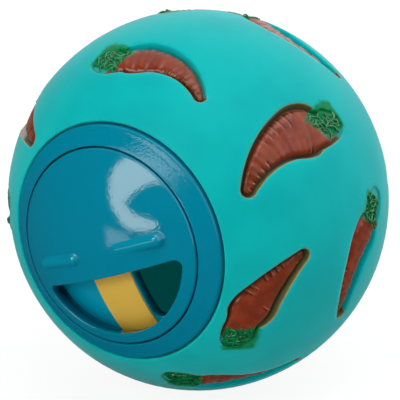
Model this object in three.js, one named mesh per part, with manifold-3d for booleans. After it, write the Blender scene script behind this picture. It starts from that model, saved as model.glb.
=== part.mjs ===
// Treat dispensing ball for small pets, in millimetres, +Z up.
// A hollow vinyl ball stands with its lowest point at the origin. A hard plastic cap faces -Y:
// a collar snapped into the ball's mouth, a shutter plate and a crossbar fixed inside it, and a
// dial with a D window that turns over them, so that its window meets more or less of the
// plate's own D opening.
import * as THREE from 'three';
import { mergeVertices } from 'three/addons/utils/BufferGeometryUtils.js';
import Module from 'manifold-3d';

const wasm = await Module();
wasm.setup();

// Clearances
const FIT = 0.3; // between pieces that are seated on each other
const RUN = 0.3; // round the turning dial
const LIP_GAP = 0.35; // between the collar's flange and the vinyl lip round it

// Vinyl ball
const BALL_R = 35;
const WALL = 2.6;
const LIP_SINK = 0.8; // how far the vinyl is drawn in at the mouth
const LIP_ROUND = 0.35;
const LIP_T = 3.0; // lip between the flange and the snap bead
const LIP_WIDTH = 2.2; // flat back of the lip
const LIP_RUNOUT = 4.0; // from the flat back to the plain inner wall
const SINK_POLAR = 62; // degrees from the cap's axis where the drawing in starts

// Collar
const CAP_SINK = 1.0; // dome of the cap below the ball's surface
const RING_R = 21.8;
const RING_ROUND = 0.8;
const FLANGE_T = 1.2;
const BARREL_R = 19.5;
const BARREL_WALL = 1.8;
const BARREL_TAIL = 2.3; // barrel beyond the lip's back
const SNAP_OUT = 0.9;
const SNAP_T = 1.2;
const LEDGE_R = 16.6;
const CLIP_IN = 0.6; // inner bead that holds the plate
const CLIP_T = 1.0;

// Dial
const DIAL_R = 18.15;
const DIAL_T = 1.8;
const DIAL_EDGE = 0.3;
const WINDOW_R = 16.0;
const WINDOW_EDGE = 4.55; // straight edge, from the axis
const WINDOW_CORNER = 1.2;
const DIAL_TURN = 21.7; // degrees, straight edge above the horizontal
const RIB_R = 1.25;
const RIB_FROM = 3.65;
const RIB_TO = 14.0;
// Crest of each rib above the dome, at the rib's inner and its outer end
const RIGHT_RIB_RISES = [0.45, 1.7];
const LEFT_RIB_RISES = [1.0, 0.8];

// Pivot pin, moulded with the dial
const PIN_R = 2.6;
const BARB_OUT = 0.7;
const BARB_L = 1.5;
const PIN_SLOT = 1.0;
const SLOT_L = 4.0;

// Crossbar and shutter plate
const BAR_DROP = 0.9; // below the dial's underside
const BAR_W = 8.4;
const BAR_T = 0.8;
const BAR_END = 0.4; // short of the barrel's wall
const BAR_STEPS = 10;
const PLATE_T = 1.2;
const PLATE_EDGE = 4.8;
const PLATE_RIM = 1.8;
const PLATE_TURN = 18.4; // degrees, its opening above the horizontal

// Carrots in relief, each in a pocket of the vinyl
const POCKET_DEPTH = 1.4;
const POCKET_MARGIN = 0.75;
const CARROT_RISE = 1.25; // crest over the pocket's floor
const LEAF_L = 6.6;
const LEAF_W = 5.8;
const LEAF_DROP = 0.15; // crest of the leaves below the ball's surface
const TIP_RIM = 0.4; // half width of the pocket beyond the tip

// Where each carrot lies: degrees from the cap's axis, degrees round it from +X towards +Z,
// heading of its tip, bend over its length, its length and width, and the bend of its leaves.
const CARROTS = [
  { polar: 64.5, azimuth: 82, heading: 172, bend: -75, length: 20, width: 6.6, leafBend: 80 },
  { polar: 66, azimuth: 37.5, heading: 102, bend: 68, length: 21, width: 8.8, leafBend: -65 },
  { polar: 56, azimuth: -9.2, heading: -37, bend: -34, length: 16.8, width: 7.6, leafBend: -45 },
  { polar: 87.5, azimuth: -11, heading: 167, bend: 69, length: 19.5, width: 6.2, leafBend: -35 },
  { polar: 70.5, azimuth: -55.5, heading: -53, bend: 19, length: 19, width: 6.4, leafBend: -45 },
  { polar: 108, azimuth: 64.5, heading: 187, bend: 70, length: 20, width: 6.6, leafBend: -30 },
  { polar: 61.5, azimuth: 149, heading: 101, bend: 10, length: 20, width: 7.9, leafBend: -40 },
  { polar: 57, azimuth: 206, heading: 0, bend: 25, length: 19, width: 7.4, leafBend: 45 },
  { polar: 69, azimuth: 248, heading: 125, bend: -50, length: 19, width: 7.2, leafBend: -55 },
  { polar: 103, azimuth: 127, heading: 15, bend: 45, length: 20, width: 7.6, leafBend: 50 },
  { polar: 103, azimuth: 177, heading: 100, bend: -40, length: 20, width: 7.2, leafBend: -45 },
  { polar: 94, azimuth: 214, heading: 150, bend: 60, length: 20, width: 7.6, leafBend: 60 },
  { polar: 112, azimuth: 299, heading: 20, bend: -45, length: 20, width: 7.4, leafBend: -50 },
  { polar: 136, azimuth: 8, heading: 75, bend: 55, length: 20, width: 7.8, leafBend: 45 },
  { polar: 146, azimuth: 130, heading: 160, bend: -60, length: 20, width: 7.4, leafBend: -60 },
  { polar: 134, azimuth: 236, heading: 40, bend: 50, length: 20, width: 7.6, leafBend: 50 },
];

// Half width of a carrot along its length, as shares of its length and of its half width
const CARROT_OUTLINE = [
  [0, 0.72], [0.07, 0.95], [0.18, 1.0], [0.4, 0.78], [0.62, 0.54], [0.84, 0.32], [1, 0.1],
];
// The same for the leaves, from their far end towards the shoulder, with the pocket's depth there
const LEAF_OUTLINE = [[-1, 0.55, 0.6], [-0.7, 1.0, 0.85], [-0.3, 1.0, 1]];
// Height across the carrot and across its leaves, as shares of the half width and of the rise
const CARROT_ACROSS = [[-1, 0], [-0.72, 0.68], [0, 1], [0.72, 0.68], [1, 0]];
const LEAF_ACROSS = [[-1, 0], [-0.66, 1], [-0.33, 0.4], [0, 1], [0.33, 0.4], [0.66, 1], [1, 0]];

const SEGMENTS = 40;
const OUTER_STEP = 9; // degrees between rings of the ball
const INNER_STEP = 15;
const MARGIN = 2; // how far a cutter passes a face

const rad = THREE.MathUtils.degToRad;
const DOME_R = BALL_R - CAP_SINK;
const DIAL_UNDER_R = DOME_R - DIAL_T;
const BAR_TOP_R = DIAL_UNDER_R - BAR_DROP;
const BAR_UNDER_R = BAR_TOP_R - BAR_T;
const PLATE_TOP_R = BAR_UNDER_R - FIT;
const PLATE_UNDER_R = PLATE_TOP_R - PLATE_T;
const BARREL_IN_R = BARREL_R - BARREL_WALL;
const PLATE_R = BARREL_IN_R - FIT;
const MOUTH_R = BARREL_R + FIT;
const REBATE_R = RING_R + LIP_GAP;
const PIN_HOLE_R = PIN_R + RUN;

const domeHeight = (domeR, r) => Math.sqrt(domeR * domeR - r * r);
const FLANGE_UNDER = domeHeight(DOME_R, RING_R) - FLANGE_T;
const REBATE_FLOOR = FLANGE_UNDER - FIT;
const LIP_BACK = REBATE_FLOOR - LIP_T;
const SNAP_TOP = LIP_BACK - FIT;
const BARREL_END = LIP_BACK - BARREL_TAIL;
const LEDGE_TOP = domeHeight(DIAL_UNDER_R, DIAL_R) - RUN;
const LEDGE_UNDER = domeHeight(PLATE_TOP_R, LEDGE_R) + FIT;
const CLIP_TOP = domeHeight(PLATE_UNDER_R, PLATE_R) - FIT;

// Turns a closed geometry into a solid that can be cut and joined
function solid(geometry) {
  const bare = geometry.clone();
  bare.deleteAttribute('normal');
  bare.deleteAttribute('uv');
  const merged = mergeVertices(bare, 1e-4);
  const index = merged.index.array;
  const kept = [];
  for (let i = 0; i < index.length; i += 3) {
    const [a, b, c] = [index[i], index[i + 1], index[i + 2]];
    if (a !== b && b !== c && c !== a) kept.push(a, b, c);
  }
  const vertProperties = new Float32Array(merged.attributes.position.array);
  return new wasm.Manifold(new wasm.Mesh({ numProp: 3, vertProperties, triVerts: new Uint32Array(kept) }));
}

function meshOf(name, body, colour, roughness) {
  const data = body.getMesh();
  const geometry = new THREE.BufferGeometry();
  const positions = new Float32Array((data.vertProperties.length / data.numProp) * 3);
  for (let i = 0; i < positions.length / 3; i++) {
    for (let k = 0; k < 3; k++) positions[3 * i + k] = data.vertProperties[data.numProp * i + k];
  }
  geometry.setAttribute('position', new THREE.BufferAttribute(positions, 3));
  geometry.setIndex(new THREE.BufferAttribute(new Uint32Array(data.triVerts), 1));
  geometry.computeVertexNormals();
  const material = new THREE.MeshStandardMaterial({ color: colour, roughness, metalness: 0 });
  const mesh = new THREE.Mesh(geometry, material);
  mesh.name = name;
  return mesh;
}

// A body of revolution about +Z from points of radius and height, listed either way round
function turned(points) {
  const profile = points.map(([r, h]) => new THREE.Vector2(r, h));
  if (THREE.ShapeUtils.isClockWise(profile)) profile.reverse();
  return solid(new THREE.LatheGeometry(profile, SEGMENTS).rotateX(Math.PI / 2));
}

// Points on a dome about the origin, from one radius off the axis to another
function domeArc(domeR, from, to, count) {
  const a = Math.asin(from / domeR);
  const b = Math.asin(to / domeR);
  return Array.from({ length: count + 1 }, (_, i) => {
    const polar = a + ((b - a) * i) / count;
    const r = i === count ? to : domeR * Math.sin(polar);
    return [r, domeR * Math.cos(polar)];
  });
}

// A dished disc between two concentric domes
function dishedDisc(topR, underR, radius, count) {
  const under = domeArc(underR, 0, radius, count);
  const top = domeArc(topR, radius, 0, count);
  return turned([...under, ...top]);
}

function block(x0, x1, y0, y1, z0, z1) {
  const box = new THREE.BoxGeometry(x1 - x0, y1 - y0, z1 - z0);
  return solid(box.translate((x0 + x1) / 2, (y0 + y1) / 2, (z0 + z1) / 2));
}

function rod(radius, z0, z1) {
  const sides = 24;
  const cylinder = new THREE.CylinderGeometry(radius, radius, z1 - z0, sides).rotateX(Math.PI / 2);
  return solid(cylinder.translate(0, 0, (z0 + z1) / 2));
}

// Points of a circular arc in the plan
function arc(x, y, radius, from, to, count) {
  return Array.from({ length: count + 1 }, (_, i) => {
    const angle = from + ((to - from) * i) / count;
    return new THREE.Vector2(x + radius * Math.cos(angle), y + radius * Math.sin(angle));
  });
}

// A D opening on the side of +X: a straight edge, an arc about the axis and two round corners
function dOpening(edge, arcR, corner) {
  const centreX = edge + corner;
  const bend = Math.acos(centreX / (arcR - corner));
  const centreY = (arcR - corner) * Math.sin(bend);
  const outline = [
    ...arc(centreX, -centreY, corner, Math.PI, 2 * Math.PI - bend, 3),
    ...arc(0, 0, arcR, -bend, bend, 10).slice(1, -1),
    ...arc(centreX, centreY, corner, bend, Math.PI, 3),
  ];
  const shape = new THREE.Shape(outline);
  const prism = new THREE.ExtrudeGeometry(shape, { depth: BALL_R, bevelEnabled: false });
  return solid(prism.translate(0, 0, BALL_R / 4));
}

// The ball's outer radius, drawn in towards its mouth
const LIP_POLAR = Math.asin((REBATE_R + LIP_ROUND) / (BALL_R - LIP_SINK));
function surfaceRadius(polar) {
  const share = Math.max(0, (rad(SINK_POLAR) - polar) / (rad(SINK_POLAR) - LIP_POLAR));
  return BALL_R - LIP_SINK * share * share;
}

// Maps a carrot's own flat coordinates, x along it, to a point at a depth below the surface
function onBall(carrot, x, y, depth) {
  const polar = rad(carrot.polar);
  const azimuth = rad(carrot.azimuth);
  const [sp, cp, sa, ca] = [Math.sin(polar), Math.cos(polar), Math.sin(azimuth), Math.cos(azimuth)];
  const out = new THREE.Vector3(sp * ca, sp * sa, cp);
  const round = new THREE.Vector3(-sa, ca, 0);
  const capward = new THREE.Vector3(-cp * ca, -cp * sa, sp);
  const heading = rad(carrot.heading);
  const along = round.clone().multiplyScalar(Math.cos(heading)).addScaledVector(capward, Math.sin(heading));
  const across = new THREE.Vector3().crossVectors(out, along);
  const distance = Math.hypot(x, y);
  const angle = distance / BALL_R;
  const reach = distance > 0 ? Math.sin(angle) / distance : 0;
  const point = out.multiplyScalar(Math.cos(angle)).addScaledVector(along, x * reach);
  point.addScaledVector(across, y * reach);
  return point.multiplyScalar(surfaceRadius(Math.acos(point.z)) - depth);
}

// A point at s on an arc that leaves the origin along x
function bentLine(turnPerMm, s) {
  const angle = turnPerMm * s;
  return { x: Math.sin(angle) / turnPerMm, y: (1 - Math.cos(angle)) / turnPerMm, angle };
}

// A point of the bent centre line and its direction, at a distance from the shoulder
function centreLine(carrot, s) {
  const turnPerMm = rad(carrot.bend) / carrot.length;
  const middle = carrot.length / 2;
  if (s >= 0) return bentLine(turnPerMm, s - middle);
  const start = bentLine(turnPerMm, -middle);
  const leaf = bentLine(rad(carrot.leafBend) / LEAF_L, s);
  const [along, across] = [Math.cos(start.angle), Math.sin(start.angle)];
  return {
    x: start.x + along * leaf.x - across * leaf.y,
    y: start.y + across * leaf.x + along * leaf.y,
    angle: start.angle + leaf.angle,
  };
}

// A closed skin over rings of points that run anticlockwise seen from the far end
function skin(rings) {
  const count = rings[0].length;
  const positions = rings.flat().flatMap((p) => [p.x, p.y, p.z]);
  const index = [];
  for (let i = 0; i + 1 < rings.length; i++) {
    for (let k = 0; k < count; k++) {
      const next = (k + 1) % count;
      const [a, b] = [i * count + k, i * count + next];
      index.push(a, b, a + count, b, b + count, a + count);
    }
  }
  const last = (rings.length - 1) * count;
  for (let k = 1; k + 1 < count; k++) index.push(0, k + 1, k, last, last + k, last + k + 1);
  const geometry = new THREE.BufferGeometry();
  geometry.setAttribute('position', new THREE.Float32BufferAttribute(positions, 3));
  geometry.setIndex(index);
  return solid(geometry);
}

// A section across a pocket: open above the ball's surface, and the relief left standing below
function section(carrot, place, rim, across) {
  const corners = [[rim, -MARGIN], [-rim, -MARGIN], ...across];
  return corners.map(([side, depth]) => {
    const x = place.x - side * Math.sin(place.angle);
    const y = place.y + side * Math.cos(place.angle);
    return onBall(carrot, x, y, depth);
  });
}

function leafSection(carrot, [share, wide, deep]) {
  const half = (wide * LEAF_W) / 2;
  const depth = deep * POCKET_DEPTH;
  const rise = depth - LEAF_DROP;
  const across = LEAF_ACROSS.map(([side, high]) => [side * half, depth - high * rise]);
  return section(carrot, centreLine(carrot, share * LEAF_L), half, across);
}

function bodySection(carrot, [share, wide]) {
  const half = (wide * carrot.width) / 2;
  const rim = half + POCKET_MARGIN;
  const rise = CARROT_RISE * Math.sqrt(wide);
  const ridge = CARROT_ACROSS.map(([side, high]) => [side * half, POCKET_DEPTH - high * rise]);
  const across = [[-rim, POCKET_DEPTH], ...ridge, [rim, POCKET_DEPTH]];
  return section(carrot, centreLine(carrot, share * carrot.length), rim, across);
}

// What is taken out of the ball round one carrot and its leaves
function pocket(carrot) {
  const floor = LEAF_ACROSS.map(([side]) => [side * TIP_RIM, POCKET_DEPTH]);
  return skin([
    ...LEAF_OUTLINE.map((station) => leafSection(carrot, station)),
    ...CARROT_OUTLINE.map((station) => bodySection(carrot, station)),
    section(carrot, centreLine(carrot, carrot.length + POCKET_MARGIN), TIP_RIM, floor),
  ]);
}

function ballShell() {
  const steps = (from, to, step) => {
    const count = Math.round(Math.abs(to - from) / step);
    return Array.from({ length: count + 1 }, (_, i) => rad(from + ((to - from) * i) / count));
  };
  const lipPolar = THREE.MathUtils.radToDeg(LIP_POLAR);
  const outer = [...steps(180, 90, OUTER_STEP), ...steps(90, lipPolar, OUTER_STEP).slice(1)];
  const outerWall = outer.map((p) => {
    const r = surfaceRadius(p);
    return [p === Math.PI ? 0 : r * Math.sin(p), r * Math.cos(p)];
  });
  const innerR = BALL_R - WALL;
  const [lipTop] = outerWall.slice(-1);
  const backOuter = MOUTH_R + LIP_WIDTH;
  const runout = THREE.MathUtils.radToDeg(Math.asin((backOuter + LIP_RUNOUT) / innerR));
  const innerWall = steps(runout, 180, INNER_STEP).map((p) => [
    p === Math.PI ? 0 : innerR * Math.sin(p), innerR * Math.cos(p),
  ]);
  const lip = [
    [REBATE_R, lipTop[1] - LIP_ROUND],
    [REBATE_R, REBATE_FLOOR],
    [MOUTH_R, REBATE_FLOOR],
    [MOUTH_R, LIP_BACK],
    [backOuter, LIP_BACK],
  ];
  const shell = turned([...outerWall, ...lip, ...innerWall]);
  return shell.subtract(wasm.Manifold.union(CARROTS.map(pocket)));
}

function collar() {
  const holeR = DIAL_R + RUN;
  const dome = domeArc(DOME_R, holeR, RING_R - RING_ROUND, 2);
  const edge = domeHeight(DOME_R, RING_R);
  const snapR = BARREL_R + SNAP_OUT;
  const clipR = BARREL_IN_R - CLIP_IN;
  const snapBottom = SNAP_TOP - SNAP_T;
  const clipBottom = CLIP_TOP - CLIP_T;
  const profile = [
    ...dome,
    [RING_R - 0.3 * RING_ROUND, edge - 0.1 * RING_ROUND],
    [RING_R, edge - 0.7 * RING_ROUND],
    [RING_R, FLANGE_UNDER],
    [BARREL_R, FLANGE_UNDER],
    [BARREL_R, SNAP_TOP],
    [snapR, SNAP_TOP],
    [snapR, snapBottom + 0.5 * SNAP_T],
    [BARREL_R, snapBottom],
    [BARREL_R, BARREL_END],
    [BARREL_IN_R, BARREL_END],
    [BARREL_IN_R, clipBottom],
    [clipR, clipBottom + 0.5 * CLIP_T],
    [clipR, CLIP_TOP],
    [BARREL_IN_R, CLIP_TOP],
    [BARREL_IN_R, LEDGE_UNDER],
    [LEDGE_R, LEDGE_UNDER],
    [LEDGE_R, LEDGE_TOP],
    [holeR, LEDGE_TOP],
    dome[0],
  ];
  const notchHalf = BAR_W / 2 + FIT;
  const notchBottom = (LEDGE_UNDER + CLIP_TOP) / 2;
  const notchTop = LEDGE_TOP + MARGIN;
  const notch = block(-notchHalf, notchHalf, -BARREL_R, BARREL_R, notchBottom, notchTop);
  const round = rod(BARREL_IN_R, notchBottom, notchTop);
  const slots = notch.intersect(round).rotate([0, 0, PLATE_TURN]);
  return turned(profile).subtract(slots);
}

function shutterPlate() {
  const disc = dishedDisc(PLATE_TOP_R, PLATE_UNDER_R, PLATE_R, 4);
  const opening = dOpening(PLATE_EDGE, PLATE_R - PLATE_RIM, WINDOW_CORNER);
  const hole = rod(PIN_HOLE_R, 0, BALL_R);
  return disc.subtract(opening).subtract(hole).rotate([0, 0, PLATE_TURN]);
}

function crossbar() {
  const endR = BARREL_IN_R - BAR_END;
  const corners = [
    [-1, BAR_TOP_R], [0, BAR_TOP_R], [1, BAR_TOP_R], [1, BAR_UNDER_R], [0, BAR_UNDER_R], [-1, BAR_UNDER_R],
  ];
  const stations = Array.from({ length: BAR_STEPS + 1 }, (_, i) => (2 * i) / BAR_STEPS - 1);
  const rings = stations.map((share) => corners.map(([side, domeR]) => {
    const x = (side * BAR_W) / 2;
    const y = share * Math.sqrt(endR * endR - x * x);
    return new THREE.Vector3(x, y, domeHeight(domeR, Math.hypot(x, y)));
  }));
  const hole = rod(PIN_HOLE_R, 0, BALL_R);
  return skin(rings).subtract(hole).rotate([0, 0, PLATE_TURN]);
}

// A finger rib: a round-ended rod sunk in the dome, which stands higher at one end
function rib(side, [innerRise, outerRise]) {
  const inner = RIB_FROM + RIB_R;
  const outer = RIB_TO - RIB_R;
  const innerH = domeHeight(DOME_R, inner) + innerRise - RIB_R;
  const outerH = domeHeight(DOME_R, outer) + outerRise - RIB_R;
  const length = Math.hypot(outer - inner, outerH - innerH);
  const capsule = new THREE.CapsuleGeometry(RIB_R, length, 3, 12).rotateZ(-Math.PI / 2);
  const slope = Math.atan2(outerH - innerH, outer - inner);
  capsule.rotateY(-slope);
  capsule.translate((inner + outer) / 2, 0, (innerH + outerH) / 2);
  if (side < 0) capsule.rotateZ(Math.PI);
  return solid(capsule);
}

function dial() {
  const top = domeArc(DOME_R, DIAL_R - DIAL_EDGE, 0, 5);
  const under = domeArc(DIAL_UNDER_R, 0, DIAL_R, 5);
  const rim = [DIAL_R, domeHeight(DOME_R, DIAL_R) - DIAL_EDGE];
  const disc = turned([...under, rim, ...top]);
  const window = dOpening(WINDOW_EDGE, WINDOW_R, WINDOW_CORNER).rotate([0, 0, -90]);
  const barbTop = domeHeight(PLATE_UNDER_R, PIN_R + BARB_OUT) - FIT;
  const barb = turned([
    [0, barbTop - BARB_L], [PIN_R - BARB_OUT, barbTop - BARB_L], [PIN_R + BARB_OUT, barbTop],
    [PIN_R, barbTop], [PIN_R, DIAL_UNDER_R + DIAL_T / 2], [0, DIAL_UNDER_R + DIAL_T / 2],
  ]);
  const reach = PIN_R + BARB_OUT + MARGIN;
  const slotTop = barbTop - BARB_L + SLOT_L;
  const slot = block(-PIN_SLOT / 2, PIN_SLOT / 2, -reach, reach, barbTop - BARB_L - MARGIN, slotTop);
  const pin = barb.subtract(slot);
  const ribs = rib(1, RIGHT_RIB_RISES).add(rib(-1, LEFT_RIB_RISES));
  return disc.subtract(window).add(ribs).add(pin).rotate([0, 0, DIAL_TURN]);
}

const cap = new THREE.Group();
cap.add(meshOf('collar', collar(), 0x00738f, 0.22));
cap.add(meshOf('shutter_plate', shutterPlate(), 0x00738f, 0.3));
cap.add(meshOf('crossbar', crossbar(), 0xc4a346, 0.4));
cap.add(meshOf('dial', dial(), 0x00738f, 0.2));

// The cap's axis, +Z in the pieces, is turned to -Y and the ball stands on the floor
const ball = new THREE.Group();
ball.add(meshOf('ball_shell', ballShell(), 0x00b9b9, 0.5));
ball.add(cap);
ball.rotation.x = Math.PI / 2;
ball.position.z = BALL_R;

const part = new THREE.Group();
part.add(ball);
export default part;
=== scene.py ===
# %% [markdown]
# # A treat dispensing ball
# A hollow ball of soft vinyl with sunken carrots, and a hard plastic cap snapped into its mouth.
# The imported model is the fixed frame: every piece made here lies where its solid lies, in
# metres, with the floor at z = 0 and the cap facing -Y. We start by loading that frame and
# keeping its solids.

# %% Load the frame
import math

import bmesh
import bpy
import numpy as np
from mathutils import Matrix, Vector
from mathutils.geometry import delaunay_2d_cdt
from mathutils.kdtree import KDTree


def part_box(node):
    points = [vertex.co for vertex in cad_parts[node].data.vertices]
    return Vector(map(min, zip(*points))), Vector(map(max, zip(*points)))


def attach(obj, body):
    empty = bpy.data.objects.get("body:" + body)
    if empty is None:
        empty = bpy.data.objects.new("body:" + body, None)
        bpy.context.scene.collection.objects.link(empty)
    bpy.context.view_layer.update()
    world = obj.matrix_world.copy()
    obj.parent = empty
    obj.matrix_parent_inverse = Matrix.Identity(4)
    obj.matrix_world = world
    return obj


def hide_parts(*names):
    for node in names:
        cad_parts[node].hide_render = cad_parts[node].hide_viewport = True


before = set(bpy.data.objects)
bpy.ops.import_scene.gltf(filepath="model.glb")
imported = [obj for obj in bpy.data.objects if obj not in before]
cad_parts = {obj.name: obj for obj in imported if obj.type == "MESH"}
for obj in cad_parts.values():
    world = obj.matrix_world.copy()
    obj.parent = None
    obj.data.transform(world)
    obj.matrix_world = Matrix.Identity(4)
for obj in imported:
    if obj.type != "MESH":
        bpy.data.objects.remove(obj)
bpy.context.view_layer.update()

# %% [markdown]
# ## Sizes
# A maker thinks about this toy in millimetres, about the ball's centre and the cap's axis. So
# do we: every shape below is worked out in millimetres as (x, y, h), where h is the height
# along the cap's axis, and one function at the end turns that into metres in the frame.
# The ball's radius is read from the frame, and most other sizes are those of the solids. A few
# follow the photo more closely than a solid has to, and a comment says so where they stand.

# %% Sizes of the ball and its mouth, in millimetres
MM = 0.001
shell_low, shell_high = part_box("ball_shell")
BALL_R = round((shell_high.z - shell_low.z) / 2 / MM, 3)
WALL = 2.6
# Gaps between pieces that are seated on each other, and round the dial, which turns
FIT = 0.3
RUN = 0.3

# The collar, which the mouth is made for: its dome, its ring, its flange and its barrel
DOME_R = BALL_R - 1.0
RING_R = 21.8
FLANGE_T = 1.2
BARREL_R = 19.5

# The vinyl is drawn in towards the mouth, from this many degrees off the cap's axis
SINK_POLAR = math.radians(62)
LIP_SINK = 0.8
# The lip: the gap round the flange, its round edge, its thickness, the width of its flat back,
# and how far it takes from there to run out into the plain wall
LIP_GAP = 0.35
LIP_ROUND = 0.35
LIP_T = 3.0
LIP_WIDTH = 2.2
LIP_RUNOUT = 4.0

REBATE_R = RING_R + LIP_GAP
MOUTH_R = BARREL_R + FIT
FLANGE_UNDER = math.sqrt(DOME_R**2 - RING_R**2) - FLANGE_T
REBATE_FLOOR = FLANGE_UNDER - FIT
LIP_BACK = REBATE_FLOOR - LIP_T
LIP_POLAR = math.asin((REBATE_R + LIP_ROUND) / (BALL_R - LIP_SINK))
print(f"ball radius {BALL_R} mm, lip back at {LIP_BACK:.2f} mm along the cap's axis")
print("the lip starts", round(math.degrees(LIP_POLAR), 1), "degrees off the axis")


# %% From millimetres to the frame
def in_frame(points):
    """(x, y, h) in millimetres about the ball's centre, to metres in the frame."""
    x, y, h = np.asarray(points, float).reshape(-1, 3).T
    return np.stack([x, -h, y + BALL_R], axis=1) * MM


# %% [markdown]
# ## One way to make a mesh
# Each piece is a list of points and faces. One helper turns them into an object at the origin,
# smooth shaded, with any values that its finish reads stored on the points. Nearly every shape
# here is a stack of closed rows of points, so a small class gathers them row by row.

# %% Mesh helpers
def new_piece(name, points, faces, values=None):
    """A smooth shaded object at the origin, with its values stored on its points."""
    mesh = bpy.data.meshes.new(name)
    mesh.from_pydata(in_frame(points).tolist(), [], [list(map(int, f)) for f in faces])
    mesh.validate()
    mesh.shade_smooth()
    for key, data in (values or {}).items():
        layer = mesh.attributes.new(key, "FLOAT", "POINT")
        layer.data.foreach_set("value", np.asarray(data, np.float32))
    piece = bpy.data.objects.new(name, mesh)
    bpy.context.scene.collection.objects.link(piece)
    return piece


def face_outwards(piece):
    """Turns all faces of a closed mesh outwards."""
    work = bmesh.new()
    work.from_mesh(piece.data)
    bmesh.ops.remove_doubles(work, verts=work.verts, dist=1e-7)
    bmesh.ops.recalc_face_normals(work, faces=work.faces)
    work.to_mesh(piece.data)
    work.free()


def strip_between(lower, upper):
    """Faces between two closed rows of point numbers; a repeated number gives a triangle."""
    faces = []
    for k in range(len(lower)):
        n = (k + 1) % len(lower)
        corners = [lower[k], lower[n], upper[n], upper[k]]
        face = [c for i, c in enumerate(corners) if c != corners[i - 1]]
        if len(face) > 2:
            faces.append(face)
    return faces


# %% Points and faces, row by row
class Skin:
    """Points, faces and stored values of one piece, gathered row by row."""

    def __init__(self, *keys):
        self.points = []
        self.faces = []
        self.values = {key: [] for key in keys}

    def add(self, points, **values):
        """Adds points and returns their numbers. A value not given is 0."""
        points = np.asarray(points, float).reshape(-1, 3)
        first = len(self.points)
        self.points.extend(points.tolist())
        for key, store in self.values.items():
            store.extend(np.broadcast_to(values.get(key, 0.0), len(points)).tolist())
        return list(range(first, first + len(points)))

    def add_line(self, places, points, **values):
        """Adds a line that a row runs along and back: each place on it once."""
        numbers = {}
        places = np.round(places, 5)
        for k, place in enumerate(places):
            if place not in numbers:
                here = {key: np.broadcast_to(v, len(places))[k] for key, v in values.items()}
                numbers[place] = self.add(points[k], **here)[0]
        return [numbers[place] for place in places]

    def join(self, rows):
        """Strips of faces from each row to the next."""
        for lower, upper in zip(rows, rows[1:]):
            self.faces.extend(strip_between(lower, upper))

    def close(self, row, point, **values):
        """A fan of triangles from a row to one point in its middle."""
        middle = self.add(point, **values)[0]
        self.faces.extend([a, b, middle] for a, b in zip(row, row[1:] + row[:1]))


# %% Circles and smooth curves
def circle(radius, h, count):
    """Points round the cap's axis at one height."""
    angle = np.arange(count) * 2 * math.pi / count
    flat = np.full(count, float(h))
    return np.stack([radius * np.cos(angle), radius * np.sin(angle), flat], axis=1)


def smooth_through(knots, s):
    """A smooth curve through a few (place, value) pairs."""
    x, y = np.array(knots, float).T
    slope = np.gradient(y, x)
    i = np.clip(np.searchsorted(x, s) - 1, 0, len(x) - 2)
    step = x[i + 1] - x[i]
    t = np.clip((s - x[i]) / step, 0, 1)
    start = y[i] * (1 + 2 * t) * (1 - t) ** 2 + slope[i] * step * t * (1 - t) ** 2
    return start + y[i + 1] * t * t * (3 - 2 * t) + slope[i + 1] * step * t * t * (t - 1)


def ease(t):
    """Rises smoothly from 0 to 1 as t does."""
    t = np.clip(t, 0, 1)
    return t * t * (3 - 2 * t)


def rounded(t):
    """Rises from 0 to 1 like a quarter of a circle."""
    return np.sqrt(1 - (1 - np.clip(t, 0, 1)) ** 2)


# %% [markdown]
# ## Finishes
# Colours are written as the hex values one would pick on a screen, and one function turns
# them to the linear values that the renderer needs. One more function adds a node with its
# settings and links.

# %% Colour and node helpers
def linear(hex_colour):
    """The linear colour of a screen's hex value."""
    def channel(c):
        c /= 255
        return c / 12.92 if c <= 0.04045 else ((c + 0.055) / 1.055) ** 2.4

    value = int(hex_colour.lstrip("#"), 16)
    return tuple(channel((value >> shift) & 255) for shift in (16, 8, 0)) + (1.0,)


def add_node(tree, kind, inputs=None, out=None, **settings):
    """Adds a node with its settings and links, and returns it or one of its outputs.

    Inputs are values or output sockets, by name or number.
    """
    node = tree.nodes.new(kind)
    for key, value in settings.items():
        setattr(node, key, value)
    for key, value in (inputs or {}).items():
        if isinstance(value, bpy.types.NodeSocket):
            tree.links.new(value, node.inputs[key])
        else:
            node.inputs[key].default_value = value
    return node if out is None else node.outputs[out]


def new_finish(name):
    """A material whose node tree is still empty."""
    material = bpy.data.materials.new(name)
    material.use_nodes = True
    tree = material.node_tree
    tree.nodes.clear()
    return material, tree


# Settings of a mix of two colours (its inputs 0, 6, 7 and output 2) and of a soft ramp
COLOUR = dict(data_type="RGBA", clamp_factor=True)
SOFT = dict(interpolation_type="SMOOTHSTEP")

# %% [markdown]
# ## Where the carrots lie
# Sixteen carrots are scattered over the ball, each in a pocket of its own. A carrot is given
# by where its middle lies (degrees from the cap's axis and degrees round it), the heading of
# its tip, how far it bends, and its length and width. The other values say how the moulds and
# stencils differ from carrot to carrot: how far the leaves bend, how steeply the shoulder
# slants, on which side of the pocket the spray misses the wall (1, -1 or 0 for neither), how
# far the body's neck reaches into the leaves, and how far out along them the green goes.
# Everything about one carrot is drawn on a flat map that touches the ball at the carrot's
# middle, and then laid on the ball.

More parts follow.
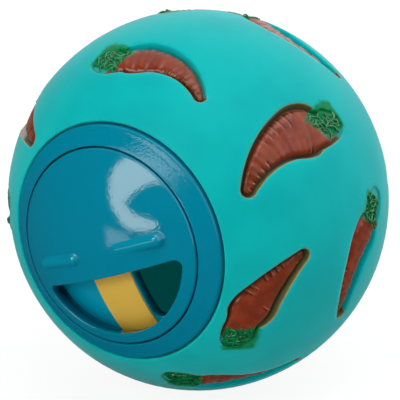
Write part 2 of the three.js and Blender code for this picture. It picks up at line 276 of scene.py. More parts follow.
# %% Table of the carrots
LEAF_L = 6.6
LEAF_W = 5.8
CARROT_KEYS = (
    "polar", "azimuth", "heading", "bend", "length", "width",
    "leaf_bend", "slant", "bare", "neck", "green",
)
CARROTS = [dict(zip(CARROT_KEYS, values)) for values in (
    (64.5, 82, 172, -75, 20, 6.6, 80, 0.2, 1, 0, LEAF_L),
    (66, 37.5, 102, 68, 21, 8.8, -65, -0.4, 0, 0, LEAF_L),
    (56, -9.2, -37, -34, 16.8, 7.6, -45, 0, 0, 1.9, LEAF_L),
    (87.5, -11, 167, 69, 19.5, 7.2, -35, 0.15, 1, 0, 4.6),
    (70.5, -55.5, -53, 19, 19, 6.4, -45, 0.2, -1, 0, 5.4),
    (108, 64.5, 187, 70, 20, 6.6, -30, 0.3, 1, 0, LEAF_L),
    (61.5, 149, 101, 10, 20, 7.9, -40, 0.2, 0, 0, LEAF_L),
    (57, 206, 0, 25, 19, 7.4, 45, -0.2, 0, 0, LEAF_L),
    (69, 248, 125, -50, 19, 7.2, -55, 0.3, 0, 0, LEAF_L),
    (103, 127, 15, 45, 20, 7.6, 50, 0, 0, 0, LEAF_L),
    (103, 177, 100, -40, 20, 7.2, -45, 0.25, 0, 0, LEAF_L),
    (94, 214, 150, 60, 20, 7.6, 60, -0.3, 0, 0, LEAF_L),
    (112, 299, 20, -45, 20, 7.4, -50, 0.2, 0, 0, LEAF_L),
    (136, 8, 75, 55, 20, 7.8, 45, 0, 0, 0, LEAF_L),
    (146, 130, 160, -60, 20, 7.4, -60, -0.25, 0, 0, LEAF_L),
    (134, 236, 40, 50, 20, 7.6, 50, 0.3, 0, 0, LEAF_L),
)]
print(len(CARROTS), "carrots")


# %% A flat map for each carrot
def carrot_axes(carrot):
    """Outward, along and across directions at the carrot's middle."""
    polar, azimuth, heading = (math.radians(carrot[k]) for k in ("polar", "azimuth", "heading"))
    sp, cp, sa, ca = math.sin(polar), math.cos(polar), math.sin(azimuth), math.cos(azimuth)
    out = np.array([sp * ca, sp * sa, cp])
    around = np.array([-sa, ca, 0.0])
    capward = np.array([-cp * ca, -cp * sa, sp])
    along = math.cos(heading) * around + math.sin(heading) * capward
    return out, along, np.cross(out, along)


def surface_radius(unit):
    """The ball's radius, drawn in towards the mouth."""
    polar = np.arccos(np.clip(unit[..., 2], -1, 1))
    share = np.maximum(0, (SINK_POLAR - polar) / (SINK_POLAR - LIP_POLAR))
    return BALL_R - LIP_SINK * share**2


def lay_on_ball(carrot, flat, depth):
    """Points of the carrot's flat map, laid on the ball at a depth below its surface."""
    out, along, across = carrot_axes(carrot)
    distance = np.hypot(flat[:, 0], flat[:, 1])
    reach = np.sinc(distance / BALL_R / math.pi) / BALL_R
    unit = np.outer(np.cos(distance / BALL_R), out)
    unit += np.outer(flat[:, 0] * reach, along) + np.outer(flat[:, 1] * reach, across)
    unit /= np.linalg.norm(unit, axis=1, keepdims=True)
    return unit * (surface_radius(unit) - depth)[:, None]


def flat_map(carrot, unit):
    """The reverse: places on the carrot's flat map of unit directions."""
    out, along, across = carrot_axes(carrot)
    sideways = np.stack([unit @ along, unit @ across], axis=1)
    angle = np.arccos(np.clip(unit @ out, -1, 1))
    length = np.maximum(np.linalg.norm(sideways, axis=1), 1e-9)
    return sideways * (BALL_R * angle / length)[:, None]


def bent_line(turn, s):
    """Places and angles on an arc that leaves the origin along x and turns by turn each mm."""
    angle = turn * s
    return np.stack([np.sin(angle) / turn, (1 - np.cos(angle)) / turn], axis=1), angle


def centre_line(carrot, s):
    """Places and directions of the carrot's bent centre line, s from its shoulder."""
    turn = math.radians(carrot["bend"]) / carrot["length"]
    middle = carrot["length"] / 2
    place, angle = bent_line(turn, np.maximum(s, 0) - middle)
    leaf, leaf_angle = bent_line(math.radians(carrot["leaf_bend"]) / LEAF_L, np.minimum(s, 0))
    c, n = math.cos(turn * middle), -math.sin(turn * middle)
    place = place + np.stack([
        c * leaf[:, 0] - n * leaf[:, 1], n * leaf[:, 0] + c * leaf[:, 1],
    ], axis=1)
    angle = angle + leaf_angle
    return place, np.stack([np.cos(angle), np.sin(angle)], axis=1)


# %% [markdown]
# ## A carrot in its pocket
# The relief could be a displaced sphere, but then the steep pocket walls would cut across the
# grid and look ragged. Instead each carrot gets rows of points that follow its own outline,
# like the contour lines of a hill: from its centre line out to its foot, across the pocket's
# floor, up the wall and over the soft rim. Each point remembers its contour, its place along
# the carrot, how much green lands on it and how deep it lies in a crease, and the finish draws
# the paint from these values, and from the crease also painted shade and a painted highlight
# beside it. Distances s along a carrot are counted from its shoulder: the leaves are on the
# negative side, and the tip is at the carrot's length.

# %% Outline and pocket of a carrot
STATIONS = 124
# Shares of the body's length and width, and of the leaves'
BODY_OUTLINE = [
    (0, 0.8), (0.06, 0.94), (0.16, 1.0), (0.4, 0.78), (0.68, 0.48), (0.9, 0.25), (1, 0.15),
]
LEAF_OUTLINE = [(-1, 0.55), (-0.75, 0.95), (-0.4, 1)]
# The photo's outlines reach this much further on each side than the solid's
BODY_SPREAD = 0.2
LEAF_SPREAD = 0.1
# Radii of the round end of the leaves and of the tip, and where the contours' middle line ends
LEAF_END_R = 1.6
TIP_END_R = 0.7
TIP_CORE = 0.9
POCKET_DEPTH = 1.4
# The pocket is shallower under the leaves: shares of their length and of its depth
LEAF_POCKET = [(-1, 0.25), (-0.6, 0.42), (-0.25, 0.66), (0.1, 1)]
# Under a body, which is usually this long, it has its whole depth
BODY_L = 20


def outline_half_width(carrot, s):
    """Half width of the leaves and the body together."""
    half = carrot["width"] / 2 + BODY_SPREAD
    leaf = LEAF_W / 2 + LEAF_SPREAD
    knots = [(share * LEAF_L, wide * leaf) for share, wide in LEAF_OUTLINE]
    knots += [(share * carrot["length"], wide * half) for share, wide in BODY_OUTLINE]
    width = smooth_through(knots, s)
    for end, radius in ((-LEAF_L, LEAF_END_R), (carrot["length"], TIP_END_R)):
        width = width * rounded(np.abs(s - end) / radius)
    return width


def pocket_depth(s):
    """Depth of the pocket's floor below the ball's surface."""
    knots = [(share * LEAF_L, deep) for share, deep in LEAF_POCKET] + [(BODY_L, 1)]
    return POCKET_DEPTH * smooth_through(knots, s)


def carrot_outline(carrot):
    """Stations round a carrot: place along it, side, and on the flat map its core and its edge."""
    t = np.linspace(0, 1, STATIONS + 1)
    # The stations lie closer together towards both ends, where the outline turns
    spread = 0.45 * t + 0.55 * (0.5 - 0.5 * np.cos(math.pi * t))
    s = -LEAF_L + (carrot["length"] + LEAF_L) * spread
    s = np.concatenate([s, s[-2:0:-1]])
    side = np.concatenate([np.ones(STATIONS + 1), -np.ones(STATIONS - 1)])
    core = np.clip(s, -LEAF_L + LEAF_END_R, carrot["length"] - TIP_CORE)
    start, _ = centre_line(carrot, core)
    place, heading = centre_line(carrot, s)
    normal = np.stack([-heading[:, 1], heading[:, 0]], axis=1)
    edge = place + normal * (side * outline_half_width(carrot, s))[:, None]
    return s, side, core, start, edge


def outward(edge):
    """Unit normals of a closed flat outline, pointing out of it."""
    tangent = np.roll(edge, -1, axis=0) - np.roll(edge, 1, axis=0)
    tangent /= np.linalg.norm(tangent, axis=1, keepdims=True)
    normal = np.stack([tangent[:, 1], -tangent[:, 0]], axis=1)
    x, y = edge.T
    if np.sum(x * np.roll(y, -1) - np.roll(x, -1) * y) < 0:
        normal = -normal
    return normal


# %% [markdown]
# A real carrot has short creases that run in from its sides. Twelve of them are strewn along
# each body. Their places come from multiples of the golden ratio: these look like chance, but
# they never bunch up, and they are the same in each run.

# %% Creases of the body
CREASES = 12
GOLDEN = 0.618
# The least value of each, and what chance adds to it: how far from the middle line a crease
# starts, its width in millimetres, and its strength
CREASE_START = (0.15, 0.5)
CREASE_WIDTH = (0.14, 0.07)
CREASE_STRENGTH = (0.6, 0.4)
CREASE_LEAN = 0.9
RIDGE_ASIDE = 0.38
RIDGE_SHARE = 0.4


def creases(carrot, s, row, side, seed):
    """Crosswise creases that run in from one side or the other, from 0 to 1."""
    cut = np.zeros(np.shape(s))
    for j in range(CREASES):
        chance = [(seed * 7 + j * k + 1) * GOLDEN % 1 for k in (3, 5, 8, 13)]
        place = (j + 0.5 + 0.7 * (chance[0] - 0.5)) / CREASES * carrot["length"]
        hand = 1 if chance[1] > 0.5 else -1
        lean = CREASE_LEAN * (chance[2] - 0.5)
        width = CREASE_WIDTH[0] + CREASE_WIDTH[1] * chance[2]
        inner = CREASE_START[0] + CREASE_START[1] * chance[3]
        reach = ease((side * hand * row - inner) / 0.12) * ease((1.04 - row) / 0.1)
        line = np.exp(-(((s - place - lean * row * 2) / width) ** 2))
        cut = np.maximum(cut, line * reach * (CREASE_STRENGTH[0] + CREASE_STRENGTH[1] * chance[0]))
    return cut * ease(s - 1)


def folds(carrot, s, row, side, seed):
    """1 in a crease, and below 0 on the low ridge that is pushed up beside it."""
    ridges = creases(carrot, s - RIDGE_ASIDE, row, side, seed)
    return creases(carrot, s, row, side, seed) - RIDGE_SHARE * ridges


# %% Height of the relief
# The photo's bodies stand a little higher and fuller than the solid's
CARROT_RISE = 1.45
RISE_ALONG = [(0, 0.96), (0.16, 1.0), (0.5, 0.9), (0.8, 0.7), (1, 0.4)]
# Slow swellings: height, turn for each millimetre, and turn for each carrot
SWELLINGS = ((0.07, 1.9, 1.0), (0.05, 4.3, 2.1))
CREASE_DEPTH = 0.28
SHOULDER_FROM = -0.6
SHOULDER_L = 1.5
LEAF_BED = 0.55


def past_shoulder(carrot, s, row, side):
    """Millimetres from the shoulder line, which slants across the carrot. A neck moves it."""
    return s - carrot["slant"] * side * row * carrot["width"] / 2 + carrot["neck"]


def relief_height(carrot, s, row, side, seed):
    """Height over the pocket's floor: a rounded body cut by its creases, and a leaf bed."""
    share = np.clip(s / carrot["length"], 0, 1)
    thick = CARROT_RISE * smooth_through(RISE_ALONG, share)
    swell = sum(high * np.sin(s * rate + phase * seed) for high, rate, phase in SWELLINGS)
    start = past_shoulder(carrot, s, row, side)
    shoulder = rounded((start - SHOULDER_FROM) / SHOULDER_L)
    round_over = np.sqrt(np.clip(1 - row**4, 0, 1))
    cut = CREASE_DEPTH * folds(carrot, s, row, side, seed)
    body = (thick + swell - cut) * shoulder * round_over
    bed = LEAF_BED * ease((0.4 - start) / 0.8) * round_over * pocket_depth(s) / POCKET_DEPTH
    return body + bed


# %% [markdown]
# The green is sprayed through a stencil with a straight-sided hole, which never sits quite
# true, so each patch of green has soft edges and is a little askew.

# %% Where the green lands
STENCIL_HALF = 3.7
STENCIL_PAST_LEAVES = 0.9
STENCIL_PAST_SHOULDER = 0.6
STENCIL_SKEW = 0.35


def leaf_paint(carrot, flat, seed):
    """How much of the green sprayed through the stencil lands here, from 0 to 1."""
    ends, _ = centre_line(carrot, np.array([0.0, -LEAF_L]))
    away = (ends[1] - ends[0]) / np.linalg.norm(ends[1] - ends[0])
    offset = flat - ends[0]
    out = offset @ away
    sideways = offset @ np.array([-away[1], away[0]])
    skew = STENCIL_SKEW * ((seed * GOLDEN % 1) - 0.5)
    near = STENCIL_PAST_SHOULDER - carrot["neck"]
    far_edge = ease((carrot["green"] + STENCIL_PAST_LEAVES + skew * sideways - out) / 0.6)
    near_edge = ease((out - carrot["slant"] * 0.8 * sideways + near) / 0.7)
    side_edge = ease((STENCIL_HALF - 0.1 * np.abs(out - 3.5) - np.abs(sideways)) / 0.7)
    return far_edge * near_edge * side_edge


# %% Add a carrot to the skin
RELIEF_ROWS = (0.0, 0.2, 0.38, 0.54, 0.68, 0.79, 0.88, 0.95, 0.985)
# Rows outside the foot: share of the pocket's margin, and share of its depth
WALL_ROWS = [
    (0.0, 1.0), (0.3, 1.0), (0.55, 0.97), (0.75, 0.82),
    (0.9, 0.52), (1.02, 0.22), (1.12, 0.07), (1.3, 0.0),
]
# The photo's channel round a body is narrower than the solid's
POCKET_MARGIN = 0.55


def add_carrot(skin, carrot, seed):
    """Adds one carrot's contours to the ball's skin, and returns the outermost row."""
    s, side, core, start, edge = carrot_outline(carrot)
    rows = []
    for row in RELIEF_ROWS:
        flat = start + row * (edge - start)
        here = core + row * (s - core)
        depth = pocket_depth(here) - relief_height(carrot, here, row, side, seed)
        points = lay_on_ball(carrot, flat, depth)
        stored = dict(
            ring=row, along=past_shoulder(carrot, here, row, side),
            leafy=leaf_paint(carrot, flat, seed), crease=folds(carrot, here, row, side, seed),
        )
        rows.append(skin.add(points, **stored) if row else skin.add_line(core, points, **stored))
    # The channel is narrower beside the leaves
    margin = POCKET_MARGIN * (0.55 + 0.45 * ease((s + 1.5) / 2.5))
    # Where the spray misses the wall, the contours count as lying further out, on plain vinyl
    missed = (side == carrot["bare"]) * ease((s + 1) / 2) * ease((carrot["length"] - 0.2 - s) / 1.2)
    push = outward(edge)
    for share, deep in WALL_ROWS:
        flat = edge + push * (share * margin)[:, None]
        rows.append(skin.add(
            lay_on_ball(carrot, flat, deep * pocket_depth(s)), ring=1 + share + missed,
            along=past_shoulder(carrot, s, 1, side), leafy=leaf_paint(carrot, flat, seed),
        ))
    skin.join(rows)
    return rows[-1]


# %% [markdown]
# ## The ball between the carrots
# The rest of the ball is a plain dome with sixteen holes in it, one for each carrot, and a
# round mouth. To fill it with even triangles we project the sphere from the middle of its
# mouth onto a flat plane. That projection keeps circles as circles, so a Delaunay
# triangulation made in the plane is also the best one on the ball. Points are scattered on a
# golden-angle spiral, closer together near the pockets than on the open vinyl.

# %% Points on the open vinyl
LIP_COUNT = 180
# Spacing of the scattered points, and between which distances from an edge it holds
GRADES = ((0.55, 0.4, 1.5), (1.15, 1.5, 4.0), (2.1, 4.0, 1e3))
# How far from a carrot's middle its pocket reaches, and its green
POCKET_REACH = 20
GREEN_REACH = 22
# The stored contour of plain vinyl, far outside every pocket
PLAIN_RING = 3.0


def spiral_points(spacing):
    """Unit directions of an even spiral over the whole ball, that many millimetres apart."""
    count = int(4 * math.pi * BALL_R**2 / spacing**2)
    k = np.arange(count) + 0.5
    h = 1 - 2 * k / count
    angle = k * math.pi * (3 - math.sqrt(5))
    r = np.sqrt(1 - h * h)
    return np.stack([r * np.cos(angle), r * np.sin(angle), h], axis=1)


def project(unit):
    """Stereographic projection from the middle of the mouth."""
    return unit[:, :2] / (1 - unit[:, 2:3])


def inside(outline, points):
    """Even-odd test of flat points against a closed outline."""
    x, y = points.T
    result = np.zeros(len(points), bool)
    for (x0, y0), (x1, y1) in zip(outline, np.roll(outline, -1, axis=0)):
        if y0 != y1:
            crossing = ((y0 > y) != (y1 > y)) & (x < (x1 - x0) * (y - y0) / (y1 - y0) + x0)
            result ^= crossing
    return result


def distance_to(edges, points):
    """How far each point lies from the nearest of the edges' points. Both may be flat."""
    edges, points = (np.pad(p, ((0, 0), (0, 3 - p.shape[1]))) for p in (edges, points))
    tree = KDTree(len(edges))
    for i, point in enumerate(edges):
        tree.insert(point, i)
    tree.balance()
    return np.array([tree.find(point)[2] for point in points])


def fill_points(rims, lip):
    """Scattered points outside every pocket, graded by their distance to the nearest edge."""
    edges = np.concatenate([*rims, lip])
    kept = []
    for spacing, nearest, farthest in GRADES:
        points = spiral_points(spacing)
        points = points[np.arccos(points[:, 2]) > LIP_POLAR]
        distance = distance_to(edges, points * BALL_R)
        kept.append(points[(distance >= nearest) & (distance < farthest)])
    points = np.concatenate(kept)
    for carrot, rim in zip(CARROTS, rims):
        near = points @ carrot_axes(carrot)[0] > math.cos(POCKET_REACH / BALL_R)
        outline = flat_map(carrot, rim / np.linalg.norm(rim, axis=1, keepdims=True))
        hidden = np.zeros(len(points), bool)
        hidden[near] = inside(outline, flat_map(carrot, points[near]))
        points = points[~hidden]
    return points


def nearest_paint(points):
    """Green overspray on plain vinyl: the most that any carrot's stencil lets through."""
    paint = np.zeros(len(points))
    for seed, carrot in enumerate(CARROTS):
        near = points @ carrot_axes(carrot)[0] > math.cos(GREEN_REACH / BALL_R)
        green = leaf_paint(carrot, flat_map(carrot, points[near]), seed)
        paint[near] = np.maximum(paint[near], green)
    return paint


# %% Triangles on the open vinyl
def triangulate(flat, loops):
    """Delaunay triangles over flat points. The loops' points come first, and their edges stay."""
    edges = []
    first = 0
    for loop in loops:
        edges += [(first + k, first + (k + 1) % len(loop)) for k in range(len(loop))]
        first += len(loop)
    _, _, triangles, origins, _, _ = delaunay_2d_cdt([Vector(p) for p in flat], edges, [], 1, 1e-9)
    return np.array([[origins[v][0] for v in t] for t in triangles])


def add_open_vinyl(skin, rims, lip):
    """Triangles between the carrots' outermost rows and the lip's first row."""
    points = np.array(skin.points)
    loops = [*rims, lip]
    fill = fill_points([points[r] for r in rims], points[lip])
    fresh = skin.add(
        fill * surface_radius(fill)[:, None], ring=PLAIN_RING, leafy=nearest_paint(fill),
    )
    numbers = [i for loop in loops for i in loop] + fresh
    points = np.array(skin.points)[numbers]
    flat = project(points / np.linalg.norm(points, axis=1, keepdims=True))
    triangles = triangulate(flat, loops)
    first = 0
    for rim in rims:
        outline = flat[first:first + len(rim)]
        triangles = triangles[~inside(outline, flat[triangles].mean(axis=1))]
        first += len(rim)
    skin.faces.extend([[numbers[v] for v in t] for t in triangles])
    print(len(fresh), "points scattered on the open vinyl,", len(triangles), "triangles")


# %% [markdown]
# ## The vinyl ball
# The real ball is one hollow moulding about 2.6 mm thick. Its mouth is drawn in a little and
# ends in a rounded lip, with a step for the collar's flange, a bore, and a thick back that the
# collar snaps behind. So the skin goes on from the outside over the lip and down the inside,
# and the piece is a closed wall like the real one.

# %% Make the vinyl ball
# Small bevels where the flange is seated and at both ends of the bore
STEP_BEVEL = 0.15
BORE_BEVEL = 0.25
INSIDE_ROWS = 33


def lip_and_inside():
    """Rows of (radius, height) from the outer lip round to the pole of the inner wall."""
    edge_h = math.sqrt((BALL_R - LIP_SINK) ** 2 - (REBATE_R + LIP_ROUND) ** 2)
    rows = [
        (REBATE_R + LIP_ROUND * (1 - math.sin(turn)), edge_h - LIP_ROUND * (1 - math.cos(turn)))
        for turn in np.radians([20, 45, 70, 90])
    ]
    back = MOUTH_R + LIP_WIDTH
    rows += [
        (REBATE_R, REBATE_FLOOR + STEP_BEVEL), (REBATE_R - STEP_BEVEL, REBATE_FLOOR),
        (MOUTH_R + BORE_BEVEL, REBATE_FLOOR), (MOUTH_R, REBATE_FLOOR - BORE_BEVEL),
        (MOUTH_R, LIP_BACK + BORE_BEVEL), (MOUTH_R + BORE_BEVEL, LIP_BACK),
        (back, LIP_BACK), (back + 0.35 * LIP_RUNOUT, LIP_BACK - 0.5),
    ]
    inner_r = BALL_R - WALL
    start = math.asin((back + LIP_RUNOUT) / inner_r)
    rows += [
        (inner_r * math.sin(polar), inner_r * math.cos(polar))
        for polar in np.linspace(start, math.pi, INSIDE_ROWS + 1)[:-1]
    ]
    return rows


def make_vinyl_ball():
    """The ball as one closed wall: carrots, open vinyl, lip and inside."""
    skin = Skin("ring", "along", "leafy", "crease")
    rims = [add_carrot(skin, carrot, seed) for seed, carrot in enumerate(CARROTS)]
    edge_r = BALL_R - LIP_SINK
    edge = circle(edge_r * math.sin(LIP_POLAR), edge_r * math.cos(LIP_POLAR), LIP_COUNT)
    lip = skin.add(edge, ring=PLAIN_RING)
    add_open_vinyl(skin, rims, lip)
    rows = [lip]
    for r, h in lip_and_inside():
        rows.append(skin.add(circle(r, h, LIP_COUNT), ring=PLAIN_RING))
    skin.join(rows)
    skin.close(rows[-1], [0, 0, WALL - BALL_R], ring=PLAIN_RING)
    piece = new_piece("vinyl_ball", skin.points, skin.faces, skin.values)
    face_outwards(piece)
    return piece, skin


vinyl_ball, ball_skin = make_vinyl_ball()
print("vinyl ball:", len(vinyl_ball.data.polygons), "faces")

# %% [markdown]
# ## Curly leaves
# Each carrot's leaves are a tuft of small curled leaflets that lie in every direction. Placing
# hundreds of them by hand makes no sense, and a bump map would not catch the light. This is a
# task for Geometry Nodes: scatter points over the leaf beds, put a small bent leaflet on each,
# turn and scale it by chance with a fixed seed, and make the instances real.

# %% Leaf beds
def make_leaf_beds():
    """The parts of the ball's skin that lie under the leaves, as a mesh of their own."""
    ring, leafy, along = (np.array(ball_skin.values[key]) for key in ("ring", "leafy", "along"))
    # On the relief, under the green, and not past the shoulder
    under = (ring <= 0.9) & (leafy > 0.5) & (along < 0.6)
    faces = [f for f in ball_skin.faces if under[f].all()]
    used = sorted({v for f in faces for v in f})
    number = {v: i for i, v in enumerate(used)}
    points = np.array(ball_skin.points)[used]
    return new_piece("carrot_leaves", points, [[number[v] for v in f] for f in faces])


leaf_beds = make_leaf_beds()
print("leaf beds:", len(leaf_beds.data.polygons), "faces")

# %% Leaflets
LEAFLETS = {
    "Length": 1.35 * MM, "Thickness": 0.3 * MM, "Height": 0.35 * MM, "Spacing": 0.5 * MM,
    "Smallest": 0.65, "Largest": 1.25, "Seed": 7,
}


def leaflet_tree(material):
    """The node tree, and the identifiers of its named inputs."""
    tree = bpy.data.node_groups.new("leaflets on a bed", "GeometryNodeTree")
    tree.interface.new_socket("Bed", in_out="INPUT", socket_type="NodeSocketGeometry")
    names = {}
    for name in LEAFLETS:
        kind = "NodeSocketInt" if name == "Seed" else "NodeSocketFloat"
        names[name] = tree.interface.new_socket(name, in_out="INPUT", socket_type=kind).identifier
    tree.interface.new_socket("Leaflets", in_out="OUTPUT", socket_type="NodeSocketGeometry")
    given = add_node(tree, "NodeGroupInput").outputs

    # One leaflet: a thin round strand that arches up and aside, and comes down again
    back, ahead, aside, radius = (
        add_node(tree, "ShaderNodeMath", {0: given[name], 1: share}, 0, operation="MULTIPLY")
        for name, share in (("Length", -0.5), ("Length", 0.5), ("Length", 0.3), ("Thickness", 0.5))
    )
    start = add_node(tree, "ShaderNodeCombineXYZ", {"X": back}, 0)
    top = add_node(tree, "ShaderNodeCombineXYZ", {"Y": aside, "Z": given["Height"]}, 0)
    end = add_node(tree, "ShaderNodeCombineXYZ", {"X": ahead}, 0)
    spine = add_node(tree, "GeometryNodeCurveQuadraticBezier", {
        "Resolution": 5, "Start": start, "Middle": top, "End": end,
    }, 0)
    rim = add_node(tree, "GeometryNodeCurvePrimitiveCircle", {"Resolution": 5, "Radius": radius}, 0)
    leaflet = add_node(tree, "GeometryNodeCurveToMesh", {
        "Curve": spine, "Profile Curve": rim, "Fill Caps": True,
    }, 0)

    # Points on the bed, and by chance a turn about the bed's own normal and a size for each
    scatter = add_node(tree, "GeometryNodeDistributePointsOnFaces", {
        "Mesh": given["Bed"], "Distance Min": given["Spacing"], "Density Max": 6e6,
        "Seed": given["Seed"],
    }, distribute_method="POISSON").outputs
    other_seed = add_node(tree, "ShaderNodeMath", {0: given["Seed"], 1: 1.0}, 0, operation="ADD")
    spin = add_node(tree, "FunctionNodeRandomValue", {
        2: 0.0, 3: 2 * math.pi, "Seed": given["Seed"],
    }, 1, data_type="FLOAT")
    turn = add_node(tree, "FunctionNodeAxisAngleToRotation", {"Axis": (0, 0, 1), "Angle": spin}, 0)
    rotation = add_node(tree, "FunctionNodeRotateRotation", {
        "Rotation": scatter["Rotation"], "Rotate By": turn,
    }, 0, rotation_space="LOCAL")
    size = add_node(tree, "FunctionNodeRandomValue", {
        2: given["Smallest"], 3: given["Largest"], "Seed": other_seed,
    }, 1, data_type="FLOAT")

    placed = add_node(tree, "GeometryNodeInstanceOnPoints", {
        "Points": scatter["Points"], "Instance": leaflet, "Rotation": rotation, "Scale": size,
    }, 0)
    real = add_node(tree, "GeometryNodeRealizeInstances", {"Geometry": placed}, 0)
    smooth = add_node(tree, "GeometryNodeSetShadeSmooth", {"Geometry": real}, 0)
    coloured = add_node(tree, "GeometryNodeSetMaterial", {
        "Geometry": smooth, "Material": material,
    }, 0)
    add_node(tree, "NodeGroupOutput", {"Leaflets": coloured})
    return tree, names


def grow(piece, tree, values):
    """Runs a node tree on a piece and keeps the result as its plain mesh."""
    modifier = piece.modifiers.new("grow", "NODES")
    modifier.node_group = tree
    for identifier, value in values.items():
        modifier[identifier] = value
    evaluated = piece.evaluated_get(bpy.context.evaluated_depsgraph_get())
    grown = bpy.data.meshes.new_from_object(evaluated)
    piece.modifiers.clear()
    piece.data = grown


# %% [markdown]
# ## Domed plates with openings
# The dial, the shutter plate and the crossbar are all slices of a dome with something cut out
# of them. One function makes them all: it rounds the top edge of every outline, closes the
# sides, and fills the top and the underside with a Delaunay mesh. The points lie on the exact
# domes and get the domes' exact normals, so that a mirror-like reflection doesn't show the
# triangles.

# %% Flat outlines
def flat_circle(radius, count):
    """A circle about the cap's axis."""
    return circle(radius, 0, count)[:, :2]


def arc(cx, cy, radius, start, end, count):
    """Points on an arc, both ends among them."""
    angle = np.linspace(start, end, count)
    return np.stack([cx + radius * np.cos(angle), cy + radius * np.sin(angle)], axis=1)


def d_outline(edge, radius, corner):
    """A D on the side of +x: a straight edge, an arc about the axis and two round corners."""
    cx = edge + corner
    bend = math.acos(cx / (radius - corner))
    cy = (radius - corner) * math.sin(bend)
    straight = np.linspace(cy, -cy, 44)[1:-1]
    return np.concatenate([
        arc(cx, -cy, corner, math.pi, 2 * math.pi - bend, 9),
        arc(0, 0, radius, -bend, bend, 56)[1:-1],
        arc(cx, cy, corner, bend, math.pi, 9),
        np.stack([np.full(len(straight), edge), straight], axis=1),
    ])


def turned_flat(outline, angle):
    """Flat points turned about the cap's axis."""
    c, s = math.cos(angle), math.sin(angle)
    return outline @ np.array([[c, s], [-s, c]])


# %% Filling a flat outline
# Height of a row of equal triangles, as a share of their side
TRIANGLE_ROW = 0.866


def hex_points(reach, spacing):
    """An even grid of triangles over a square that reaches so far to each side."""
    rows = int(reach / (spacing * TRIANGLE_ROW)) + 1
    return np.array([
        ((i + 0.5 * (j % 2)) * spacing, j * spacing * TRIANGLE_ROW)
        for j in range(-rows, rows + 1)
        for i in range(-rows - 1, rows + 2)
    ])


def fill_flat(loops, spacing):
    """Triangles inside the first loop and outside the others. Returns extra points and faces."""
    edges = np.concatenate(loops)
    extra = hex_points(np.abs(loops[0]).max(), spacing)
    keep = inside(loops[0], extra)
    for hole in loops[1:]:
        keep &= ~inside(hole, extra)
    # A point nearer to an edge than this would make slivers there
    extra = extra[keep & (distance_to(edges, extra) > 0.55 * spacing)]
    flat = np.concatenate([edges, extra])
    triangles = triangulate(flat, loops)
    for hole in loops[1:]:
        triangles = triangles[~inside(hole, flat[triangles].mean(axis=1))]
    return extra, triangles.tolist()


# %% Domed plates
EDGE_TURNS = np.radians([0, 25, 50, 72, 90])
# A point this near a dome, in millimetres, lies on it
DOME_TOLERANCE = 1e-4


def dome_height(radius, flat):
    """Height of a dome above flat points."""
    return np.sqrt(radius**2 - np.sum(flat**2, axis=1))


def on_dome(radius, flat):
    """Flat points lifted onto a dome."""
    return np.column_stack([flat, dome_height(radius, flat)])


def cover_dome(skin, loops, radius, spacing):
    """Fills a dome inside the first loop and outside the others."""
    flat = [np.array(skin.points)[loop][:, :2] for loop in loops]
    extra, triangles = fill_flat(flat, spacing)
    numbers = [i for loop in loops for i in loop] + skin.add(on_dome(radius, extra))
    skin.faces.extend([[numbers[v] for v in t] for t in triangles])


def domed_plate(skin, outer, holes, top_r, under_r, edge_round, patches=(), spacing=1.1):
    """Adds a plate between two domes. Patches are rows already in the skin, left open for it."""
    top_loops = []
    under_loops = []
    for number, outline in enumerate([outer, *holes]):
        inward = outward(outline) * (-1 if number == 0 else 1)
        rows = [skin.add(on_dome(under_r, outline))]
        for turn in EDGE_TURNS:
            points = on_dome(top_r, outline + inward * edge_round * (1 - math.cos(turn)))
            points[:, 2] -= edge_round * (1 - math.sin(turn))
            rows.append(skin.add(points))
        skin.join(rows)
        under_loops.append(rows[0])
        top_loops.append(rows[-1])
    cover_dome(skin, top_loops + list(patches), top_r, spacing)
    cover_dome(skin, under_loops, under_r, 2 * spacing)


def finish_plate(name, skin, turn, top_r, under_r):
    """Turns the plate to its place and gives its two domes their exact normals."""
    points = np.array(skin.points)
    points[:, :2] = turned_flat(points[:, :2], turn)
    piece = new_piece(name, points, skin.faces, skin.values)
    face_outwards(piece)
    normals, places = np.zeros((2, 3 * len(piece.data.vertices)))
    piece.data.vertex_normals.foreach_get("vector", normals)
    piece.data.vertices.foreach_get("co", places)
    normals = normals.reshape(-1, 3)
    from_centre = places.reshape(-1, 3) / MM - (0, 0, BALL_R)
    size = np.linalg.norm(from_centre, axis=1)
    for radius, sign in ((top_r, 1), (under_r, -1)):
        on = np.abs(size - radius) < DOME_TOLERANCE
        normals[on] = sign * from_centre[on] / size[on][:, None]
    piece.data.normals_split_custom_set_from_vertices(normals.tolist())
    return piece


# %% [markdown]
# ## The dial
# The dial is what the owner turns: a domed disc with a D window below its middle and two
# finger ribs. The ribs are moulded with it, so they grow out of the dome with a small fillet
# and are not stuck on. We make each rib from contour rows round its centre line, and join
# them to the dome by a smooth maximum of the two heights.

# %% Sizes of the dial
DIAL_R = 18.15
DIAL_T = 1.8
DIAL_EDGE = 0.3
DIAL_TURN = math.radians(21.7)
WINDOW_EDGE = 4.55
WINDOW_R = 16.0
WINDOW_CORNER = 1.2
# The ribs: half their width, the middles of their two round ends along the dial's straight
# edge, and how high the crest of each rises above the dome at those ends
RIB_R = 1.25
RIB_ENDS = np.array([3.65 + RIB_R, 14.0 - RIB_R])
RIB_RISES = {1: (0.45, 1.7), -1: (1.0, 0.8)}
RIB_FILLET = 0.35
# Distances of the contour rows from the rib's middle line, and how many points each row has
# along one side and round one end
RIB_ROWS = (0.0, 0.35, 0.65, 0.88, 1.04, 1.15, 1.21, 1.25, 1.29, 1.34, 1.42, 1.54, 1.72, 2.0)
RIB_ALONG = 26
RIB_ROUND = 13

# %% Make the dial
def smooth_max(a, b, blend):
    """The higher of two heights, with a fillet where they are nearly the same."""
    share = np.clip(0.5 + 0.5 * (b - a) / blend, 0, 1)
    return a + (b - a) * share + blend * share * (1 - share)


